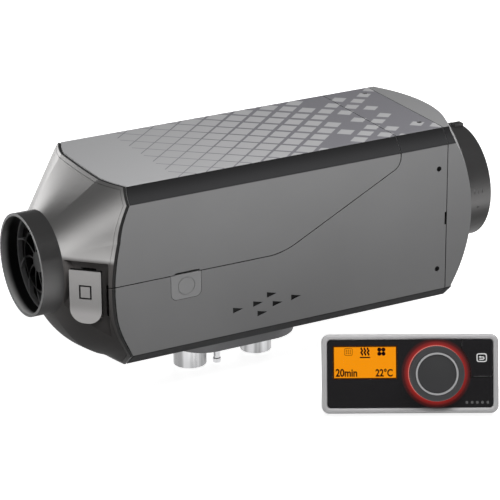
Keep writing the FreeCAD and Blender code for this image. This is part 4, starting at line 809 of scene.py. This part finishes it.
def printed(name, base, glow=0.0):
    """Printed sign: flat ink with a faint mottle."""
    finish = Finish(name, specular_ior_level=0.0)
    mottle = finish.noise(1800.0, 2.0)
    ink = finish.blend(mottle, shade(base, 0.92), shade(base, 1.05))
    finish.feed("Base Color", ink)
    finish.feed("Roughness", mottle * 0.1 + 0.45)
    if glow:
        finish.feed("Emission Color", ink)
        finish.feed("Emission Strength", glow)
    return finish


def dress(finish, *nodes):
    """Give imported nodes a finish."""
    for name in nodes:
        for slot in frame["nodes"][name].material_slots:
            slot.material = finish.material


# New pieces


def quads(rows, columns, wrap_rows):
    """Corner indices of the quads between neighbouring points of a grid whose columns wrap round."""
    row, column = np.meshgrid(np.arange(rows if wrap_rows else rows - 1), np.arange(columns), indexing="ij")
    below = (row + 1) % rows
    beside = (column + 1) % columns
    corner_sets = (row * columns + column, row * columns + beside,
                   below * columns + beside, below * columns + column)
    return np.stack(corner_sets, axis=-1).reshape(-1, 4).tolist()


def new_piece(name, shape, finish, body):
    """A mesh object of given points and faces at the origin, turned outwards, that rides on a body."""
    points, faces = shape
    mesh = bpy.data.meshes.new(name)
    mesh.from_pydata(np.asarray(points).reshape(-1, 3).tolist(), [], faces)
    shell = bmesh.new()
    shell.from_mesh(mesh)
    bmesh.ops.remove_doubles(shell, verts=shell.verts[:], dist=1e-7)
    bmesh.ops.recalc_face_normals(shell, faces=shell.faces[:])
    shell.to_mesh(mesh)
    shell.free()
    mesh.materials.append(finish.material)
    piece = bpy.data.objects.new(name, mesh)
    bpy.context.scene.collection.objects.link(piece)
    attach(piece, body)
    return piece


def slabs(outlines, front, back):
    """Closed flat slabs: each outline of a (count, steps, 2) stack stands at the depths front and back,
    with the sides between them."""
    count, steps, _ = outlines.shape
    depth = np.array((front, back))[None, :, None]
    points = on_face(outlines[:, None, :, 0], outlines[:, None, :, 1], depth)
    ring = np.arange(steps)
    beside = (ring + 1) % steps
    base = np.arange(count)[:, None] * 2 * steps
    side = np.stack((ring, beside, beside + steps, ring + steps), axis=-1)
    sides = (base[:, :, None] + side).reshape(-1, 4)
    return points, (base + ring).tolist() + (base + steps + ring).tolist() + sides.tolist()


def stroke(path, width):
    """Outline of a line of the given width: the path moved to its left, and back along its right."""
    tangent = np.gradient(path, axis=0)
    tangent = tangent / np.linalg.norm(tangent, axis=1, keepdims=True)
    normal = np.stack((-tangent[:, 1], tangent[:, 0]), axis=1) * width / 2
    return np.concatenate((path + normal, (path - normal)[::-1]))


def circle(steps):
    turn = np.linspace(0.0, 2 * math.pi, steps, endpoint=False)
    return np.stack((np.cos(turn), np.sin(turn)), axis=1)


def rounded_square(steps, power):
    """Superellipse |x|^p + |y|^p = 1."""
    ring = circle(steps)
    return np.sign(ring) * np.abs(ring) ** (2.0 / power)


def loop_band(loop, width, front, back):
    """Closed band along a loop of face points: a rectangle carried round it."""
    tangent = np.roll(loop, -1, axis=0) - np.roll(loop, 1, axis=0)
    tangent = tangent / np.linalg.norm(tangent, axis=1, keepdims=True)
    normal = np.stack((-tangent[:, 1], tangent[:, 0]), axis=1) * width / 2
    sides = np.stack((loop - normal, loop + normal, loop + normal, loop - normal))
    depth = np.array((front, front, back, back))[:, None]
    return on_face(sides[..., 0], sides[..., 1], depth), quads(4, len(loop), True)


def words(text, low, high, front, back):
    """A line of text made a mesh and fitted between two face points; its thickness fills front to back."""
    curve = bpy.data.curves.new(text, "FONT")
    curve.body = text
    curve.extrude = 0.1
    curve.offset = 0.03
    curve.resolution_u = 6
    holder = bpy.data.objects.new("words", curve)
    bpy.context.scene.collection.objects.link(holder)
    bpy.context.view_layer.update()
    mesh = bpy.data.meshes.new_from_object(holder.evaluated_get(bpy.context.evaluated_depsgraph_get()))
    flat = np.empty(3 * len(mesh.vertices))
    mesh.vertices.foreach_get("co", flat)
    points = flat.reshape(-1, 3)
    faces = [list(polygon.vertices) for polygon in mesh.polygons]
    bpy.data.objects.remove(holder)
    bpy.data.curves.remove(curve)
    bpy.data.meshes.remove(mesh)
    share = (points - points.min(axis=0)) / (points.max(axis=0) - points.min(axis=0))
    u = low[0] + share[:, 0] * (high[0] - low[0])
    v = low[1] + share[:, 1] * (high[1] - low[1])
    return on_face(u, v, back + share[:, 2] * (front - back)), faces


def dial_grip(finish):
    """Ridged grip of the dial.

    A profile of (radius, depth) rows goes from the cap's seat over the rounded front edge and down the
    side. There the radius is less by the ridge depth times the squared cosine of half the ridge angle.
    """
    size = sizes()
    low, high = face_span("dial_knob")
    ring_low, ring_high = face_span("dial_ring")
    radius = (high[0] - low[0]) / 2
    gap = 0.15 * MM
    lip = 0.3 * MM
    edge = 1.25 * MM
    chamfer = 0.6 * MM
    seat = (ring_high[0] - ring_low[0]) / 2 + gap
    front, back = low[2], high[2]
    bend = np.linspace(0.0, math.pi / 2, 9)
    side = np.linspace(front + edge, back - chamfer, 10)[1:]
    rim = np.array(((seat, ring_high[2]), (seat, front + lip), (seat + lip, front)))
    arc = np.stack((radius - edge + edge * np.sin(bend), front + edge - edge * np.cos(bend)), axis=1)
    wall = np.stack((np.full_like(side, radius), side), axis=1)
    foot = np.array(((radius - chamfer, back),))
    profile = np.concatenate((rim, arc, wall, foot))
    over_edge = np.linspace(0.0, 1.0, len(arc)) ** 2
    ridged = np.concatenate((np.zeros(len(rim)), over_edge, np.ones(len(wall)), (0.0,)))
    columns = 8 * size.ridges
    turn = np.linspace(0.0, 2 * math.pi, columns, endpoint=False)
    groove = np.cos(turn * size.ridges / 2) ** 2 * size.ridge_depth
    reach = profile[:, 0, None] - ridged[:, None] * groove
    points = on_face(DIAL_U + reach * np.cos(turn), DIAL_V + reach * np.sin(turn), profile[:, 1, None])
    rows = len(profile)
    ends = [list(range(columns)), list(range((rows - 1) * columns, rows * columns))]
    shape = points, quads(rows, columns, False) + ends
    piece = new_piece("dial_grip", shape, finish, "dial")
    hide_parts("dial_knob")


# Operators


class HEATER_OT_casing(bpy.types.Operator):
    """Finish the casing, the cover, the outlet hood and what closes them"""

    bl_idname = "heater.casing"
    bl_label = "Casing"

    def execute(self, context):
        tint = look()
        dress(shell_finish("casing_shell", True), "lower_casing", "upper_cover")
        dress(outlet_finish(), "outlet_hood")
        dress(moulded("plug_shell", tint.shell, 0.42), "blind_plug")
        dress(rubber("seal_rubber", tint.rubber), "casing_seal", "cover_seal", "neck_seal", "cable_gland")
        dress(drawn_metal("screw_metal", shade(tint.steel, 0.03), 0.45, ROUND), "outlet_screws")
        return {"FINISHED"}


class HEATER_OT_hood(bpy.types.Operator):
    """Finish the inlet hood, its rims, its guard and its latches"""

    bl_idname = "heater.hood"
    bl_label = "Inlet hood"

    def execute(self, context):
        tint = look()
        dress(inlet_finish(), "inlet_hood")
        dress(rim_finish(), "casing_rim", "cover_rim")
        dress(latch_finish(), "near_latch", "far_latch")
        dress(guard_finish(), "inlet_guard")
        dress(drawn_metal("pin_metal", tint.steel, 0.3, ROUND), "near_latch_pin", "far_latch_pin")
        return {"FINISHED"}


class HEATER_OT_metalwork(bpy.types.Operator):
    """Finish the heat exchanger with its foot, and the ports"""

    bl_idname = "heater.metalwork"
    bl_label = "Foot and ports"

    def execute(self, context):
        tint = look()
        dress(exchanger_finish(), "heat_exchanger")
        dress(tube_metal("spigot_metal", shade(tint.steel, 1.1)), "air_spigot", "exhaust_spigot")
        dress(drawn_metal("fuel_metal", shade(tint.steel, 1.1), 0.25, UPRIGHT), "fuel_pipe")
        return {"FINISHED"}


class HEATER_OT_inside(bpy.types.Operator):
    """Finish the burner, the blower, the motor, the fan and the control box"""

    bl_idname = "heater.inside"
    bl_label = "Inner pieces"

    def execute(self, context):
        tint = look()
        hot = (0.42, 0.36, 0.30)
        dress(drawn_metal("burner_metal", hot, 0.42, ALONG_X), "burner_cup", "flame_tube")
        dress(drawn_metal("plug_metal", tint.steel, 0.35, UPRIGHT), "glow_plug")
        dress(moulded("sensor_plastic", tint.dark, 0.45), "overheat_sensor")
        dress(rubber("gasket_sheet", (0.20, 0.19, 0.18)), "exchanger_gasket")
        dress(cast_metal("blower_casting", shade(tint.casting, 1.15)), "blower_housing", "blower_cover")
        dress(cast_metal("wheel_casting", shade(tint.casting, 1.3), 0.4), "combustion_wheel")
        dress(drawn_metal("blower_screw_metal", shade(tint.steel, 0.75), 0.35, ROUND), "blower_screws")
        dress(drawn_metal("motor_metal", shade(tint.steel, 0.8), 0.38, ALONG_X), "motor_can")
        dress(cast_metal("magnet_block", shade(tint.iron, 0.8), 0.6), "motor_magnets")
        dress(cast_metal("armature_stack", shade(tint.iron, 1.5), 0.5), "armature")
        dress(drawn_metal("bearing_metal", tint.steel, 0.22, ROUND), "front_bearing", "rear_bearing")
        dress(drawn_metal("shaft_metal", tint.steel, 0.22, ALONG_X), "rotor_shaft")
        dress(moulded("fan_plastic", shade(tint.dark, 0.4), 0.40), "air_fan")
        box = moulded("box_plastic", shade(tint.dark, 1.4), 0.48)
        dress(box, "control_bracket", "control_tray", "control_lid")
        dress(circuit("control_circuit", tint.board), "control_board")
        return {"FINISHED"}


class HEATER_OT_panel(bpy.types.Operator):
    """Finish the control panel's housing, frame and face, and print its signs"""

    bl_idname = "heater.panel"
    bl_label = "Control panel"

    def execute(self, context):
        tint = look()
        film = sizes().film
        dress(moulded("housing_plastic", shade(tint.dark, 1.3), 0.45), "panel_back")
        dress(moulded("frame_paint", tint.silver, 0.40, 0.15, 0.0009, 0.00001), "panel_frame")
        dress(gloss_face("face_gloss"), "panel_face", "return_button", "light_ring")
        dress(circuit("panel_circuit", tint.board), "panel_board")
        dress(drawn_metal("panel_screw_metal", shade(tint.steel, 0.75), 0.35, ROUND), "panel_screws")
        dress(moulded("socket_plastic", (0.66, 0.65, 0.62), 0.5), "panel_socket")
        dress(moulded("switch_plastic", tint.dark, 0.45), "encoder_body", "button_switch")
        light_ink = printed("light_print", tint.mark, 0.25)
        grey_ink = printed("grey_print", shade(tint.mark, 0.22))
        self.return_sign(light_ink, grey_ink, film)
        self.dots(grey_ink, film)
        return {"FINISHED"}

    def return_sign(self, light_ink, grey_ink, film):
        """Rounded square with a turning arrow on the key, and grey lines by two of its edges as painted
        highlights of the key's border.
        """
        low, _ = face_span("return_button")
        front = low[2] - film
        middle = face_point(KEY_SIGN)
        loop = middle + rounded_square(96, 5.0) * face_point(KEY_SIGN_HALF)
        shape = loop_band(loop, KEY_SIGN_LINE_W * MM, front, low[2])
        new_piece("return_sign_square", shape, light_ink, "return_key")
        turn = np.linspace(-math.pi / 2, math.pi / 2, 13)
        bend = np.stack((np.cos(turn), np.sin(turn)), axis=1) * ARROW_BEND_R + ARROW_BEND
        path = np.concatenate((ARROW_TAIL, bend, (ARROW_NECK,)))
        shape = slabs(stroke(middle + path * MM, sizes().stroke)[None], front, low[2])
        new_piece("return_sign_line", shape, light_ink, "return_key")
        head = middle + face_point(ARROW_HEAD)
        shape = slabs(head[None], front, low[2])
        new_piece("return_sign_head", shape, light_ink, "return_key")
        # painted highlights along two edges of the key
        edges = (face_point(KEY_HIGHLIGHT_UPRIGHT), face_point(KEY_HIGHLIGHT_LEVEL))
        lines = np.stack([stroke(edge, KEY_HIGHLIGHT_W * MM) for edge in edges])
        new_piece("key_edge_highlights", slabs(lines, front, low[2]), grey_ink, "return_key")

    def dots(self, grey_ink, film):
        """Row of small dots under the key."""
        low, _ = face_span("panel_face")
        middles = np.linspace(face_point(DOTS_FROM), face_point(DOTS_TO), DOT_COUNT)
        outlines = middles[:, None, :] + rounded_square(32, 3.0)[None] * DOT_R * MM
        new_piece("panel_dots", slabs(outlines, low[2] - film, low[2]), grey_ink, "heater")


class HEATER_OT_display(bpy.types.Operator):
    """Light the display and set its words and signs"""

    bl_idname = "heater.display"
    bl_label = "Display"

    def execute(self, context):
        tint = look()
        dress(amber_display(), "display_module")
        glass = Finish("display_pane", base_color=(1.0, 1.0, 1.0), transmission_weight=1.0, ior=1.25)
        smear = glass.noise(35.0, 4.0)
        glass.feed("Roughness", smear * 0.03)
        dress(glass, "display_glass")
        low, _ = face_span("display_module")
        back = low[2] - 0.02 * MM
        front = back - sizes().film
        ink = printed("display_ink", tint.ink)
        faint = printed("display_faint_ink", shade(tint.amber, 0.22), 0.5)
        for name, text, box in (
            ("display_minutes", "20min", MINUTES_BOX),
            ("display_degrees", "22°C", DEGREES_BOX),
        ):
            shape = words(text, face_point(box[0]), face_point(box[1]), front, back)
            new_piece(name, shape, ink, "heater")
        self.heat_sign(ink, front, back)
        self.fan_sign(ink, front, back)
        self.timer_sign(faint, front, back)
        return {"FINISHED"}

    def heat_sign(self, ink, front, back):
        """Three waves u = a sin(k v) side by side, and a bar under them."""
        rise = np.linspace(-HEAT_WAVE_HALF, HEAT_WAVE_HALF, 33)
        wave = np.stack((HEAT_WAVE_SWING * np.sin(rise * 2.0), rise), axis=1) * MM
        outlines = np.stack([stroke(wave + face_point(middle), HEAT_WAVE_W * MM) for middle in HEAT_WAVES])
        new_piece("display_heat_waves", slabs(outlines, front, back), ink, "heater")
        shape = slabs(stroke(face_point(HEAT_BAR), HEAT_BAR_W * MM)[None], front, back)
        new_piece("display_heat_bar", shape, ink, "heater")

    def fan_sign(self, ink, front, back):
        """Four round blades about a middle."""
        places = np.array(((-1.0, -1.0), (1.0, -1.0), (1.0, 1.0), (-1.0, 1.0)))
        outlines = face_point(FAN_SIGN) + (places[:, None, :] + circle(32)[None]) * FAN_BLADE_R * MM
        new_piece("display_fan_blades", slabs(outlines, front, back), ink, "heater")

    def timer_sign(self, faint, front, back):
        """Small calendar: a rounded frame with three rows of days."""
        middle = face_point(TIMER_SIGN)
        loop = middle + rounded_square(64, 6.0) * face_point(TIMER_HALF)
        shape = loop_band(loop, TIMER_LINE_W * MM, front, back)
        new_piece("display_timer_frame", shape, faint, "heater")
        column, row = np.meshgrid((-1.0, 0.0, 1.0), (-1.0, 0.0, 1.0))
        days = middle + np.stack((column.ravel(), row.ravel()), axis=1) * face_point(TIMER_DAY_STEP)
        outlines = days[:, None, :] + rounded_square(16, 5.0)[None] * TIMER_DAY_HALF * MM
        new_piece("display_timer_days", slabs(outlines, front, back), faint, "heater")


class HEATER_OT_dial(bpy.types.Operator):
    """Make the ridged dial and finish its ring, cap and stem"""

    bl_idname = "heater.dial"
    bl_label = "Dial"

    def execute(self, context):
        tint = look()
        dial_grip(moulded("grip_plastic", tint.grip, 0.5, 0.0, 0.0005, 0.00008))
        dress(moulded("ring_silver", shade(tint.steel, 0.85), 0.3, 0.3), "dial_ring")
        dress(moulded("cap_plastic", shade(tint.grip, 0.8), 0.42, 0.0, 0.0007, 0.00003), "dial_cap")
        dress(drawn_metal("stem_metal", tint.steel, 0.3, ROUND), "dial_stem", "push_plunger")
        return {"FINISHED"}


class HEATER_OT_stage(bpy.types.Operator):
    """Set up the floor, the light and the camera"""

    bl_idname = "heater.stage"
    bl_label = "Stage"

    def execute(self, context):
        self.floor()
        self.surroundings(context)
        self.lamps(context)
        self.camera(context)
        context.scene.view_settings.view_transform = "Standard"
        return {"FINISHED"}

    def floor(self):
        """Flat pale floor under the lowest point; to the eye it is lifted to white."""
        reach = 20.0
        level = CAD_BOX[0][2] - 0.2 * MM
        points = ((-reach, -reach, level), (reach, -reach, level), (reach, reach, level),
                  (-reach, reach, level))
        mesh = bpy.data.meshes.new("floor")
        mesh.from_pydata(points, [], [(0, 1, 2, 3)])
        finish = Finish("floor_paper", roughness=0.9, specular_ior_level=0.0)
        paths = [finish.node("ShaderNodeLightPath", {}, {}, name)
                 for name in ("Is Camera Ray", "Is Glossy Ray", "Is Transmission Ray")]
        seen = paths[0].larger(paths[1]).larger(paths[2])
        finish.feed("Base Color", finish.blend(seen, shade(look().floor, 0.12), look().floor))
        finish.feed("Emission Color", finish.blend(seen, (0.0, 0.0, 0.0), (0.85, 0.85, 0.85)))
        finish.feed("Emission Strength", 1.0)
        mesh.materials.append(finish.material)
        floor = bpy.data.objects.new("floor", mesh)
        bpy.context.scene.collection.objects.link(floor)

    def surroundings(self, context):
        world = bpy.data.worlds.new("studio")
        world.use_nodes = True
        background = world.node_tree.nodes["Background"]
        background.inputs["Color"].default_value = (1.0, 1.0, 1.0, 1.0)
        background.inputs["Strength"].default_value = context.scene.heater_stage.ambient
        context.scene.world = world

    def lamp(self, name, place, target, power, **settings):
        """An area lamp that faces its target."""
        data = bpy.data.lights.new(name, "AREA")
        data.energy = power
        for key, value in settings.items():
            setattr(data, key, value)
        lamp = bpy.data.objects.new(name, data)
        direction = Vector(target) - Vector(place)
        turn = direction.to_track_quat("-Z", "Y").to_matrix().to_4x4()
        lamp.matrix_world = Matrix.Translation(place) @ turn
        bpy.context.scene.collection.objects.link(lamp)
        return lamp

    def lamps(self, context):
        stage = context.scene.heater_stage
        middle = (0.0, 0.0, 0.1)
        front = self.lamp("front_light", (0.1, -0.40, 0.68), middle, stage.front, shape="RECTANGLE",
                          size=1.0, size_y=0.3)
        front.visible_glossy = False
        self.lamp("back_light", (-0.39, 1.14, 0.38), (-0.15, 0.0, 0.14), stage.back, size=0.5)
        self.lamp("side_light", (-1.8, -0.15, 0.3), middle, stage.side, size=0.9)
        far = self.lamp("far_light", (0.85, 1.10, 0.20), middle, stage.far, size=0.8)
        far.visible_glossy = False

    def camera(self, context):
        stage = context.scene.heater_stage
        data = bpy.data.cameras.new("camera")
        data.lens = stage.lens
        data.clip_end = 100.0
        camera = bpy.data.objects.new("camera", data)
        turn = (Matrix.Rotation(-stage.yaw, 4, "Z") @ Matrix.Rotation(math.pi / 2 - stage.pitch, 4, "X")
                @ Matrix.Rotation(stage.roll, 4, "Z"))
        camera.matrix_world = Matrix.Translation(stage.eye) @ turn
        context.scene.collection.objects.link(camera)
        context.scene.camera = camera


OPERATORS = (
    HEATER_OT_stage,
    HEATER_OT_casing,
    HEATER_OT_hood,
    HEATER_OT_metalwork,
    HEATER_OT_inside,
    HEATER_OT_panel,
    HEATER_OT_display,
    HEATER_OT_dial,
)


class HEATER_PT_pieces(bpy.types.Panel):
    """Lists what makes the heater's pieces"""

    bl_idname = "HEATER_PT_pieces"
    bl_label = "Parking Heater"
    bl_space_type = "VIEW_3D"
    bl_region_type = "UI"
    bl_category = "Heater"

    def draw(self, context):
        for operator in OPERATORS:
            self.layout.operator(operator.bl_idname)


GROUPS = {"heater_sizes": HeaterSizes, "heater_colours": HeaterColours, "heater_stage": HeaterStage}


def register():
    for entry in (*GROUPS.values(), *OPERATORS, HEATER_PT_pieces):
        bpy.utils.register_class(entry)
    for name, group in GROUPS.items():
        setattr(bpy.types.Scene, name, PointerProperty(type=group))


def unregister():
    for name in GROUPS:
        delattr(bpy.types.Scene, name)
    for entry in (HEATER_PT_pieces, *reversed(OPERATORS), *GROUPS.values()):
        bpy.utils.unregister_class(entry)


def main():
    register()
    bpy.ops.heater.stage()
    bpy.ops.heater.casing()
    bpy.ops.heater.hood()
    bpy.ops.heater.metalwork()
    bpy.ops.heater.inside()
    bpy.ops.heater.panel()
    bpy.ops.heater.display()
    bpy.ops.heater.dial()


if __name__ == "__main__":
    main()
